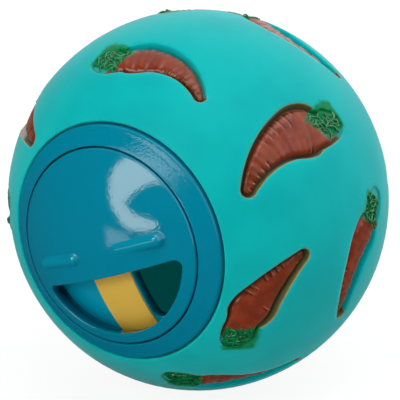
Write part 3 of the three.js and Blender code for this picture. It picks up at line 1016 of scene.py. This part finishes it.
def rib_height(flat, hand):
    """Height of the dial's top with the rib on it."""
    crest = np.sqrt(DOME_R**2 - RIB_ENDS**2) + np.array(RIB_RISES[hand])
    x = np.clip(hand * flat[:, 0], *RIB_ENDS)
    axis_h = np.interp(x, RIB_ENDS, crest - RIB_R)
    away = np.hypot(hand * flat[:, 0] - x, flat[:, 1])
    # A half round, and beside it a steep fall, so that the dome is higher there
    crown = axis_h + np.sqrt(np.clip(RIB_R**2 - away**2, 0, None)) - 6 * np.maximum(away - RIB_R, 0)
    dome = dome_height(DOME_R, flat)
    blend = RIB_FILLET * ease((RIB_ROWS[-1] - away) / 0.5)
    return np.where(blend > 1e-6, smooth_max(dome, crown, np.maximum(blend, 1e-6)), dome)


def add_rib(skin, hand):
    """Contour rows of one rib, hand +1 or -1 along the dial's straight edge."""
    inner, outer = RIB_ENDS
    line = np.linspace(inner, outer, RIB_ALONG)
    core = np.concatenate([line, np.full(RIB_ROUND, outer), line[::-1], np.full(RIB_ROUND, inner)])
    quarter = math.pi / 2
    turn = np.concatenate([
        np.full(RIB_ALONG, -quarter), np.linspace(-quarter, quarter, RIB_ROUND + 2)[1:-1],
        np.full(RIB_ALONG, quarter), np.linspace(quarter, 3 * quarter, RIB_ROUND + 2)[1:-1],
    ])
    rows = []
    for row in RIB_ROWS:
        flat = np.stack([hand * (core + row * np.cos(turn)), row * np.sin(turn)], axis=1)
        points = np.column_stack([flat, rib_height(flat, hand)])
        # How much of the ribs' lighter tone each row takes: painted light, as if the raised ribs
        # caught more light than the dome
        on_rib = ease((1.3 - row) / 0.2)
        fresh = skin.add(points, rib=on_rib) if row else skin.add_line(core, points, rib=on_rib)
        rows.append(fresh)
    skin.join(rows)
    return rows[-1]


def make_dial():
    """The disc with its window, ribs and pin, which are one moulding."""
    skin = Skin("rib")
    window = turned_flat(d_outline(WINDOW_EDGE, WINDOW_R, WINDOW_CORNER), -math.pi / 2)
    ribs = [add_rib(skin, 1), add_rib(skin, -1)]
    rim = flat_circle(DIAL_R, 240)
    domed_plate(skin, rim, [window], DOME_R, DOME_R - DIAL_T, DIAL_EDGE, ribs)
    add_pin(skin)
    return finish_plate("cap_dial", skin, DIAL_TURN, DOME_R, DOME_R - DIAL_T)


# %% [markdown]
# The dial's pivot pin is moulded with it. It is split, so that its two legs can be squeezed
# through the holes of the bar and the plate, and its barb then holds the dial from behind.

# %% The split pivot pin
PIN_R = 2.6
BARB_OUT = 0.7
BARB_L = 1.5
PIN_SLOT = 1.0
SLOT_L = 4.0
# What the pin passes through: the bar and the plate lie under the dial, dome below dome
BAR_DROP = 0.9
BAR_T = 0.8
PLATE_T = 1.2
BAR_TOP_R = DOME_R - DIAL_T - BAR_DROP
PLATE_TOP_R = BAR_TOP_R - BAR_T - FIT


def leg_outline(radius, hand):
    """One half of a split round pin, flat towards the slot."""
    half = PIN_SLOT / 2
    bend = math.acos(half / radius)
    flat_side = np.linspace(1, -1, 6)[1:-1] * radius * math.sin(bend)
    outline = np.concatenate([
        arc(0, 0, radius, -bend, bend, 16),
        np.stack([np.full(len(flat_side), half), flat_side], axis=1),
    ])
    return outline * (hand, 1)


def add_solid(skin, outlines):
    """A closed solid through (flat outline, height) rows, with a flat cap at each end."""
    rows = [skin.add(np.column_stack([flat, np.full(len(flat), h)])) for flat, h in outlines]
    skin.join(rows)
    for row in (rows[0], rows[-1]):
        skin.close(row, np.mean(np.array(skin.points)[row], axis=0))


def add_pin(skin):
    """Two legs with half a barb each, and the whole rod above their slot."""
    barb_top = math.sqrt((PLATE_TOP_R - PLATE_T) ** 2 - (PIN_R + BARB_OUT) ** 2) - FIT
    tip = barb_top - BARB_L
    slot_end = tip + SLOT_L
    leg = [
        (PIN_R - BARB_OUT, tip), (PIN_R + BARB_OUT, barb_top),
        (PIN_R, barb_top), (PIN_R, slot_end + 0.1),
    ]
    for hand in (1, -1):
        add_solid(skin, [(leg_outline(radius, hand), h) for radius, h in leg])
    rod = flat_circle(PIN_R, 32)
    add_solid(skin, [(rod, slot_end), (rod, DOME_R - DIAL_T / 2)])


cap_dial = make_dial()
print("dial:", len(cap_dial.data.polygons), "faces")

# %% [markdown]
# ## The crossbar and the shutter plate
# Under the dial lies a yellow bar, and under that a blue plate with a D opening of its own.
# When the dial turns, its window meets more or less of that opening. Both are domed like the
# dial, and both have a hole in the middle for the dial's pin.

# %% Make the crossbar and the shutter plate
PLATE_TURN = math.radians(18.4)
PIN_HOLE_R = PIN_R + RUN
PLATE_EDGE_ROUND = 0.15
# The barrel and the ledge that hold them, and how far the bar ends short of the barrel's wall
BARREL_IN_R = 17.7
LEDGE_R = 16.6
BAR_END = 0.4
BAR_W = 8.4
PLATE_R = BARREL_IN_R - FIT
PLATE_RIM = 1.8
# In the photo the opening's straight edge lies a little nearer to the axis than in the solid,
# and the plate looks flush with the ledge round it, with the bar only a little proud
PLATE_EDGE = 4.4
PLATE_FLUSH_R = BAR_TOP_R - 0.3


def strip_outline(half, end_r):
    """A straight strip along y whose ends follow a circle."""
    reach = math.sqrt(end_r**2 - half**2)
    bend = math.asin(half / end_r)
    side = np.linspace(-reach, reach, 40)
    top = arc(0, 0, end_r, math.pi / 2 - bend, math.pi / 2 + bend, 12)[1:-1]
    return np.concatenate([
        np.stack([np.full(len(side), half), side], axis=1), top,
        np.stack([np.full(len(side), -half), -side], axis=1), -top,
    ])


def make_crossbar():
    """The yellow bar across the outlet."""
    skin = Skin()
    outline = strip_outline(BAR_W / 2, BARREL_IN_R - BAR_END)
    under_r = BAR_TOP_R - BAR_T
    holes = [flat_circle(PIN_HOLE_R, 32)]
    domed_plate(skin, outline, holes, BAR_TOP_R, under_r, PLATE_EDGE_ROUND)
    return finish_plate("cap_crossbar", skin, PLATE_TURN, BAR_TOP_R, under_r)


def make_shutter_plate():
    """The blue plate with the D opening, as far as the ledge round it."""
    skin = Skin()
    opening = d_outline(PLATE_EDGE, PLATE_R - PLATE_RIM, WINDOW_CORNER)
    outline = flat_circle(LEDGE_R - 0.05, 180)
    under_r = PLATE_TOP_R - PLATE_T
    holes = [opening, flat_circle(PIN_HOLE_R, 32)]
    domed_plate(skin, outline, holes, PLATE_FLUSH_R, under_r, PLATE_EDGE_ROUND)
    return finish_plate("cap_shutter_plate", skin, PLATE_TURN, PLATE_FLUSH_R, under_r)


cap_crossbar = make_crossbar()
cap_shutter_plate = make_shutter_plate()
print("crossbar:", len(cap_crossbar.data.polygons), "faces")
print("shutter plate:", len(cap_shutter_plate.data.polygons), "faces")

# %% [markdown]
# ## The collar
# The collar is a turned shape: a domed ring with a rounded edge outside, a ledge under the
# dial, and a barrel with a snap bead that holds it behind the vinyl lip. A turned shape needs
# only its profile, so we list that and spin it about the cap's axis.

# %% Make the collar
COLLAR_COUNT = 240
RING_ROUND = 0.8
BARREL_TAIL = 2.3
SNAP_OUT = 0.9
SNAP_T = 1.2
CLIP_IN = 0.6
CLIP_T = 1.0


def ring_profile(hole):
    """(radius, height) over the ring: up its inner edge, along the dome, over the round edge."""
    dome_edge = math.sqrt(DOME_R**2 - hole**2)
    rows = [(hole, dome_edge - 0.25), (hole + 0.06, dome_edge - 0.1)]
    slope = math.asin((RING_R - RING_ROUND) / DOME_R)
    for polar in np.linspace(math.asin((hole + 0.2) / DOME_R), slope, 8):
        rows.append((DOME_R * math.sin(polar), DOME_R * math.cos(polar)))
    edge_r, edge_h = rows[-1]
    for turn in np.linspace(slope, math.pi / 2, 7)[1:]:
        reach = (math.sin(turn) - math.sin(slope)) / (1 - math.sin(slope))
        fall = (math.cos(slope) - math.cos(turn)) / math.cos(slope)
        rows.append((edge_r + (RING_R - edge_r) * reach, edge_h - 1.15 * RING_ROUND * fall))
    return rows


def collar_profile():
    """(radius, height) all the way round the collar's section."""
    hole = DIAL_R + RUN
    ledge_top = math.sqrt((DOME_R - DIAL_T) ** 2 - DIAL_R**2) - RUN
    ledge_under = math.sqrt(PLATE_TOP_R**2 - LEDGE_R**2) + FIT
    clip_top = math.sqrt((PLATE_TOP_R - PLATE_T) ** 2 - PLATE_R**2) - FIT
    clip_r = BARREL_IN_R - CLIP_IN
    snap_top = LIP_BACK - FIT
    snap_r = BARREL_R + SNAP_OUT
    barrel_end = LIP_BACK - BARREL_TAIL
    return [
        (hole, ledge_top), *ring_profile(hole),
        # Under the flange, and down the barrel over its snap bead
        (RING_R, FLANGE_UNDER), (BARREL_R, FLANGE_UNDER), (BARREL_R, snap_top),
        (snap_r, snap_top), (snap_r, snap_top - 0.5 * SNAP_T), (BARREL_R, snap_top - SNAP_T),
        # Round the barrel's end, and up over the inner bead that holds the plate to the ledge
        (BARREL_R, barrel_end), (BARREL_IN_R, barrel_end), (BARREL_IN_R, clip_top - CLIP_T),
        (clip_r, clip_top - 0.5 * CLIP_T), (clip_r, clip_top), (BARREL_IN_R, clip_top),
        (BARREL_IN_R, ledge_under), (LEDGE_R, ledge_under), (LEDGE_R, ledge_top),
    ]


def make_collar():
    """Spins the profile. Its last two rows, the ledge's inner edge, are notched for the bar."""
    skin = Skin()
    angle = np.arange(COLLAR_COUNT) * 2 * math.pi / COLLAR_COUNT
    in_notch = BARREL_IN_R * np.abs(np.cos(angle - PLATE_TURN)) < BAR_W / 2 + FIT + 0.1
    profile = collar_profile()
    rows = []
    for number, (r, h) in enumerate(profile):
        row = circle(r, h, COLLAR_COUNT)
        if number >= len(profile) - 2:
            row[in_notch, :2] *= (BARREL_IN_R - 0.05) / r
        rows.append(skin.add(row))
    skin.join(rows + rows[:1])
    piece = new_piece("cap_collar", skin.points, skin.faces)
    face_outwards(piece)
    piece.data.set_sharp_from_angle(angle=math.radians(40))
    return piece


cap_collar = make_collar()
print("collar:", len(cap_collar.data.polygons), "faces")

# %% [markdown]
# ## Sprayed soft vinyl
# The ball is plasticised vinyl, moulded in turquoise. It is satin, not glossy: a broad soft
# sheen and a faint orange peel. The carrots are sprayed through stencils, first a brown orange
# over the body and its pocket, then green over the leaves. The spray is thin on the steep
# walls, where the turquoise shows through and turns it olive, and it gathers on the rim. One
# shader can do all of that: its colour is built up in layers, as the paint is, and each layer
# comes in between two values of what the points remember, or of a noise. Two layers are not
# paint but painted light: shade in the creases, and a highlight on the ridges beside them.

# %% Layers of paint
VINYL = "#00ADB0"
# Noise from here to here goes from one tone to the other
TONES = (0.35, 0.65)


def painted_layers(tree, colour, layers):
    """Blends layer after layer over a colour: (value, its start, its full, share, hex)."""
    for value, start, full, share, hex_colour in layers:
        amount = add_node(tree, "ShaderNodeMapRange", {
            "Value": value, "From Min": start, "From Max": full, "To Max": share,
        }, "Result", **SOFT)
        layer = {0: amount, 6: colour, 7: linear(hex_colour)}
        colour = add_node(tree, "ShaderNodeMix", layer, 2, **COLOUR)
    return colour


# %% Vinyl finish
def vinyl_finish():
    """Moulded soft vinyl, sprayed: a dull broad shine on the bare ball, a sharper one on paint."""
    material, tree = new_finish("sprayed soft vinyl")
    ring, along, leafy, crease = (
        add_node(tree, "ShaderNodeAttribute", None, "Fac", attribute_name=key)
        for key in ("ring", "along", "leafy", "crease")
    )
    # Grain in millimetres: clouds in the moulding, blotches of the spray, orange peel
    place = add_node(tree, "ShaderNodeTexCoord", None, "Object")
    cloud, blotch, fine = (
        add_node(tree, "ShaderNodeTexNoise", {"Vector": place, "Scale": 1 / (size * MM)}, "Fac")
        for size in (12.0, 2.5, 0.7)
    )
    wobble = add_node(tree, "ShaderNodeMath", {
        0: blotch, 1: 0.25, 2: -0.125,
    }, 0, operation="MULTIPLY_ADD")
    edge = add_node(tree, "ShaderNodeMath", {0: ring, 1: wobble}, 0, operation="ADD")
    plain = painted_layers(tree, linear(VINYL), [
        (cloud, *TONES, 1.0, "#02B5B6"),
        (edge, PLAIN_RING, 2.25, 0.26, "#4E8A5A"),
    ])
    # Body: blotches, the darker tip and foot, painted shade in the creases and painted
    # highlights on the ridges beside them; then the channel, the thin coat on the wall, and the rim
    body = painted_layers(tree, linear("#7E2F17"), [
        (blotch, 0.35, 0.7, 1.0, "#923E20"),
        (along, 10.0, 20.0, 0.6, "#6A371C"),
        (edge, 0.78, 1.0, 0.45, "#553317"),
        # Painted shade in the creases, and a painted highlight on the ridge beside each
        (crease, 0.0, 1.0, 0.9, "#2E1509"),
        (crease, -0.05, -0.4, 0.6, "#C89478"),
        (ring, 0.98, 1.1, 1.0, "#5F4422"),
        (ring, 1.5, 1.85, 0.9, "#5E6238"),
        (edge, 2.02, 2.12, 1.0, "#94703A"),
    ])
    # The orange ends just past the rim and a little way into the leaves
    inside_rim, below_leaves = (
        add_node(tree, "ShaderNodeMapRange", {
            "Value": value, "From Min": start, "From Max": full,
        }, "Result", **SOFT)
        for value, start, full in ((edge, 2.28, 2.16), (along, -2.4, -1.6))
    )
    on_body = add_node(tree, "ShaderNodeMath", {
        0: inside_rim, 1: below_leaves,
    }, 0, operation="MULTIPLY")
    leaf = painted_layers(tree, linear("#006F3E"), [(fine, *TONES, 1.0, "#008A4E")])
    painted = add_node(tree, "ShaderNodeMix", {0: on_body, 6: plain, 7: body}, 2, **COLOUR)
    painted = add_node(tree, "ShaderNodeMix", {0: leafy, 6: painted, 7: leaf}, 2, **COLOUR)
    rough, shine = (
        add_node(tree, "ShaderNodeMapRange", {
            "Value": on_body, "To Min": on_vinyl, "To Max": on_paint,
        }, "Result")
        for on_vinyl, on_paint in ((0.5, 0.2), (0.08, 0.45))
    )
    bump = add_node(tree, "ShaderNodeBump", {
        "Height": fine, "Strength": 0.3, "Distance": 0.03 * MM,
    }, "Normal")
    shader = add_node(tree, "ShaderNodeBsdfPrincipled", {
        "Base Color": painted, "Roughness": rough, "Normal": bump,
        "IOR": 1.45, "Specular IOR Level": shine,
        "Subsurface Weight": 0.6, "Subsurface Radius": (0.4, 1.0, 1.0),
        "Subsurface Scale": 3.0 * MM, "Sheen Weight": 0.24, "Sheen Roughness": 0.35,
    }, "BSDF")
    add_node(tree, "ShaderNodeOutputMaterial", {"Surface": shader})
    return material


# %% Leaves and inner wall
def leaf_finish():
    """Gloss paint on the moulded leaves, which puts a sharp little light on every strand."""
    material, tree = new_finish("sprayed green leaves")
    place = add_node(tree, "ShaderNodeTexCoord", None, "Object")
    blotch = add_node(tree, "ShaderNodeTexNoise", {"Vector": place, "Scale": 1 / (1.2 * MM)}, "Fac")
    tone = painted_layers(tree, linear("#006B3C"), [(blotch, *TONES, 1.0, "#008A4E")])
    shader = add_node(tree, "ShaderNodeBsdfPrincipled", {
        "Base Color": tone, "Roughness": 0.16, "IOR": 1.5, "Specular IOR Level": 0.9,
    }, "BSDF")
    add_node(tree, "ShaderNodeOutputMaterial", {"Surface": shader})
    return material


def inner_wall_finish():
    """Bare vinyl, with a painted glow for the daylight through the wall: the hollow is dim teal."""
    material, tree = new_finish("soft vinyl, inner wall")
    shader = add_node(tree, "ShaderNodeBsdfPrincipled", {
        "Base Color": linear(VINYL), "Roughness": 0.6, "IOR": 1.45,
        # A painted glow: it stands for the daylight that seeps through the wall, so the hollow is
        # not black
        "Emission Color": linear("#00ADA6"), "Emission Strength": 0.07,
    }, "BSDF")
    add_node(tree, "ShaderNodeOutputMaterial", {"Surface": shader})
    return material


# %% Paint the ball and grow its leaves
# How far outside the inner sphere, in millimetres, the middle of an inner face may lie
INNER_TOLERANCE = 0.05
inner_reach = (BALL_R - WALL + INNER_TOLERANCE) * MM
vinyl_ball.data.materials.append(vinyl_finish())
vinyl_ball.data.materials.append(inner_wall_finish())
inner_faces = 0
for face in vinyl_ball.data.polygons:
    if (face.center - Vector((0, 0, BALL_R * MM))).length < inner_reach:
        face.material_index = 1
        inner_faces += 1
print(inner_faces, "faces of the ball are its inner wall")
tree, names = leaflet_tree(leaf_finish())
grow(leaf_beds, tree, {names[name]: value for name, value in LEAFLETS.items()})
carrot_leaves = leaf_beds
print("leaflets:", len(carrot_leaves.data.polygons), "faces")

# %% [markdown]
# ## Glossy moulded plastic
# The cap is hard ABS. The dial came from a polished mould and mirrors the studio lights almost
# sharply; the ring's mould was spark eroded very finely, so its reflections look grainy. Both
# have the same shader, and what differs is how rough it is and how strong and coarse its grain
# is. The real grain is finer than the picture can show, so it is drawn as coarse as it needs.

# %% Plastic finishes
BLUE = "#00809D"


def plastic_finish(name, colour, roughness, grain, grain_size, shine=0.5):
    """Moulded ABS. The grain's size is in millimetres, and shine is the specular level."""
    material, tree = new_finish(name)
    place = add_node(tree, "ShaderNodeTexCoord", None, "Object")
    cloud, noise = (
        add_node(tree, "ShaderNodeTexNoise", {"Vector": place, "Scale": 1 / (size * MM)}, "Fac")
        for size in (11.0, grain_size)
    )
    # The ribs are drawn a lighter blue than the dome: painted light, as if they caught more light
    rib = add_node(tree, "ShaderNodeAttribute", None, "Fac", attribute_name="rib")
    darker = tuple(0.93 * c for c in linear(colour)[:3]) + (1.0,)
    tone = add_node(tree, "ShaderNodeMix", {0: cloud, 6: linear(colour), 7: darker}, 2, **COLOUR)
    tone = painted_layers(tree, tone, [(rib, 0.0, 1.0, 1.0, "#0088A4")])
    bump = add_node(tree, "ShaderNodeBump", {
        "Height": noise, "Strength": grain, "Distance": 0.06 * MM,
    }, "Normal")
    shader = add_node(tree, "ShaderNodeBsdfPrincipled", {
        "Base Color": tone, "Roughness": roughness, "Normal": bump,
        "IOR": 1.54, "Specular IOR Level": shine,
    }, "BSDF")
    add_node(tree, "ShaderNodeOutputMaterial", {"Surface": shader})
    return material


polished_abs = plastic_finish("polished blue ABS", BLUE, 0.04, 0.3, 0.45)
eroded_abs = plastic_finish("finely eroded blue ABS", BLUE, 0.1, 1.0, 0.45, shine=0.24)
# The plate is painted a little paler than the dial: painted light, which lifts it out of the
# window's shade
plate_abs_painted_lighter = plastic_finish("polished blue ABS, inner plate", "#0094B4", 0.1, 0.15, 0.6)
# The bar is satin: its lights are broad and soft
yellow_abs = plastic_finish("moulded yellow ABS", "#DFB446", 0.32, 0.08, 0.6)
cap_dial.data.materials.append(polished_abs)
cap_shutter_plate.data.materials.append(plate_abs_painted_lighter)
cap_collar.data.materials.append(eroded_abs)
cap_crossbar.data.materials.append(yellow_abs)

# %% [markdown]
# ## Which body each piece rides on
# The dial turns; everything else is held by the ball. Each piece also hides the solid of the
# imported model that it replaces.

# %% Ride and replace
for piece, body, node, slot in (
    (vinyl_ball, "ball", "ball_shell", "vinyl"),
    (carrot_leaves, "ball", "ball_shell", "vinyl"),
    (cap_collar, "ball", "collar", "cap_plastic"),
    (cap_shutter_plate, "ball", "shutter_plate", "cap_plastic"),
    (cap_crossbar, "ball", "crossbar", "bar_plastic"),
    (cap_dial, "dial", "dial", "cap_plastic"),
):
    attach(piece, body)
    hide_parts(node)

# %% [markdown]
# ## Studio
# A white tent: a pale floor, an even white world, and one big softbox to the left of the
# camera with a round bite out of its side, which the dial mirrors as a curved pale patch. A
# small card stands low in front of it and shows in the dial as a second, fainter patch.

# %% Camera
# Fitted to the photo, which is 400 pixels wide: where the camera stands, its focal length in
# pixels, and the pixel column that the ball's centre falls on
CAMERA_AZIMUTH = math.radians(33)
CAMERA_ELEVATION = math.radians(20)
CAMERA_DISTANCE = 20 * BALL_R * MM
IMAGE = 400
FOCAL_PIXELS = 3809
CENTRE_PIXEL_X = 198.2
SENSOR_MM = 36
ball_centre = Vector((0, 0, BALL_R * MM))


def direction(azimuth, elevation):
    """Unit vector towards an azimuth (0 is -Y, positive towards +X) and an elevation."""
    c = math.cos(elevation)
    return Vector((math.sin(azimuth) * c, -math.cos(azimuth) * c, math.sin(elevation)))


view = direction(CAMERA_AZIMUTH, CAMERA_ELEVATION)
camera_data = bpy.data.cameras.new("camera")
camera_data.sensor_width = SENSOR_MM
camera_data.lens = FOCAL_PIXELS / IMAGE * SENSOR_MM
camera_data.shift_x = (IMAGE / 2 - CENTRE_PIXEL_X) / IMAGE
camera_data.clip_start = 0.01
camera = bpy.data.objects.new("camera", camera_data)
camera.location = ball_centre + view * CAMERA_DISTANCE
camera.rotation_euler = view.to_track_quat("Z", "Y").to_euler()
bpy.context.scene.collection.objects.link(camera)
bpy.context.scene.camera = camera
print(f"camera: {camera_data.lens:.0f} mm lens, {CAMERA_DISTANCE:.2f} m from the ball's centre")

# %% [markdown]
# The paper under the ball is white to the camera, apart from the ball's shadow, but it gives
# the ball only the light of grey paper, and the glossy dial sees it darker still. Light Path
# tells the material which kind of ray has come, and the world uses it in the same way.

# %% Floor
FLOOR_SIZE = 4.0
FLOOR_SEEN_SHARE = 0.8
FLOOR_SEEN_STRENGTH = 1.13


def make_floor():
    """A sheet of white paper."""
    mesh = bpy.data.meshes.new("floor")
    half = FLOOR_SIZE / 2
    corners = [(-half, -half, 0), (half, -half, 0), (half, half, 0), (-half, half, 0)]
    mesh.from_pydata(corners, [], [(0, 1, 2, 3)])
    floor = bpy.data.objects.new("floor", mesh)
    bpy.context.scene.collection.objects.link(floor)
    material, tree = new_finish("white paper sweep")
    path = add_node(tree, "ShaderNodeLightPath").outputs
    paper = add_node(tree, "ShaderNodeBsdfDiffuse", {"Color": linear("#D0D0D0")}, 0)
    dim = add_node(tree, "ShaderNodeBsdfDiffuse", {"Color": linear("#303030")}, 0)
    glow = add_node(tree, "ShaderNodeEmission", {
        "Color": (1, 1, 1, 1), "Strength": FLOOR_SEEN_STRENGTH,
    }, 0)
    lit = add_node(tree, "ShaderNodeMixShader", {0: path["Is Glossy Ray"], 1: paper, 2: dim}, 0)
    share = add_node(tree, "ShaderNodeMath", {
        0: path["Is Camera Ray"], 1: FLOOR_SEEN_SHARE,
    }, 0, operation="MULTIPLY")
    both = add_node(tree, "ShaderNodeMixShader", {0: share, 1: lit, 2: glow}, 0)
    add_node(tree, "ShaderNodeOutputMaterial", {"Surface": both})
    mesh.materials.append(material)


make_floor()
print("floor:", FLOOR_SIZE, "m wide")

# %% Softbox, card and lamp
SOFTBOX_DISTANCE = 1.3
SOFTBOX_STRENGTH = 5.8
CARD_DISTANCE = 0.18
CARD_STRENGTH = 1.9
LAMP_TINT = (1.0, 1.0, 0.95, 1.0)
# The curved panel's corners, clockwise from its lowest on a chart with the azimuth to the right
# and the elevation upwards; its bite is the round gap on the right
SOFTBOX = [
    (-8, -2.8), (-16, 3), (-22, 9), (-25, 14), (-28, 21), (-28.5, 29), (-25.5, 34), (-19, 39),
    (-13, 44), (0, 46), (9, 42), (17, 34), (14, 28), (5.5, 28), (1, 27.5), (-5.5, 22.5),
    (-11.5, 16.5), (-13, 13), (-11.5, 10), (-5.5, 7.2), (1, 6.6), (9, 4.8), (8, 1.5), (1, -1),
]
LOW_CARD = [(-19, -1), (-5, -2.5), (-5, -9), (-19, -11)]


def make_panel(name, outline, distance, strength):
    """A panel of light, drawn as the ball sees it: degrees of azimuth and elevation."""
    points = [
        ball_centre + distance * direction(math.radians(a), math.radians(e)) for a, e in outline
    ]
    mesh = bpy.data.meshes.new(name)
    mesh.from_pydata([tuple(p) for p in points], [], [tuple(range(len(points)))])
    panel = bpy.data.objects.new(name, mesh)
    bpy.context.scene.collection.objects.link(panel)
    panel.visible_camera = False
    material, tree = new_finish(name + " glow")
    glow = add_node(tree, "ShaderNodeEmission", {"Color": LAMP_TINT, "Strength": strength}, 0)
    add_node(tree, "ShaderNodeOutputMaterial", {"Surface": glow})
    mesh.materials.append(material)
    return panel


def add_area_light(name, azimuth, elevation, distance, size, power):
    """A round lamp that faces the ball, placed by degrees and metres."""
    data = bpy.data.lights.new(name, "AREA")
    data.shape = "DISK"
    data.size = size
    data.energy = power
    lamp = bpy.data.objects.new(name, data)
    toward = direction(math.radians(azimuth), math.radians(elevation))
    lamp.location = ball_centre + toward * distance
    lamp.rotation_euler = toward.to_track_quat("Z", "Y").to_euler()
    bpy.context.scene.collection.objects.link(lamp)


make_panel("softbox", SOFTBOX, SOFTBOX_DISTANCE, SOFTBOX_STRENGTH)
low_card = make_panel("low card", LOW_CARD, CARD_DISTANCE, CARD_STRENGTH)
# It stands so close that it would light the vinyl, and it is there for the reflection only
low_card.visible_diffuse = False
add_area_light("overhead", azimuth=40, elevation=75, distance=1.2, size=0.8, power=3.6)
print("softbox and card of", len(SOFTBOX), "and", len(LOW_CARD), "corners, and one lamp overhead")

# %% World
TENT_FRONT = 0.03
TENT_BACK = 1.15
BACKDROP_DIRECTION = (0.45, 0.75, 0.5)
# How far a direction has to point that way for the tent to be dim, and to be pale
BACKDROP_EDGES = (-0.1, 0.7)


def make_world():
    """White to the camera; as light it is pale behind the ball and dim in front of it."""
    world = bpy.data.worlds.new("white tent")
    world.use_nodes = True
    tree = world.node_tree
    tree.nodes.clear()
    seen = add_node(tree, "ShaderNodeLightPath", None, "Is Camera Ray")
    toward = add_node(tree, "ShaderNodeTexCoord", None, "Generated")
    behind = add_node(tree, "ShaderNodeVectorMath", {
        0: toward, 1: BACKDROP_DIRECTION,
    }, "Value", operation="DOT_PRODUCT")
    level = add_node(tree, "ShaderNodeMapRange", {
        "Value": behind, "From Min": BACKDROP_EDGES[0], "From Max": BACKDROP_EDGES[1],
        "To Min": TENT_FRONT, "To Max": TENT_BACK,
    }, "Result", **SOFT)
    strength = add_node(tree, "ShaderNodeMix", {0: seen, 2: level, 3: 1.0}, 0, data_type="FLOAT")
    glow = add_node(tree, "ShaderNodeBackground", {"Color": (1, 1, 1, 1), "Strength": strength}, 0)
    add_node(tree, "ShaderNodeOutputWorld", {"Surface": glow})
    bpy.context.scene.world = world


make_world()
bpy.context.scene.view_settings.view_transform = "Standard"
print("world:", bpy.context.scene.world.name)
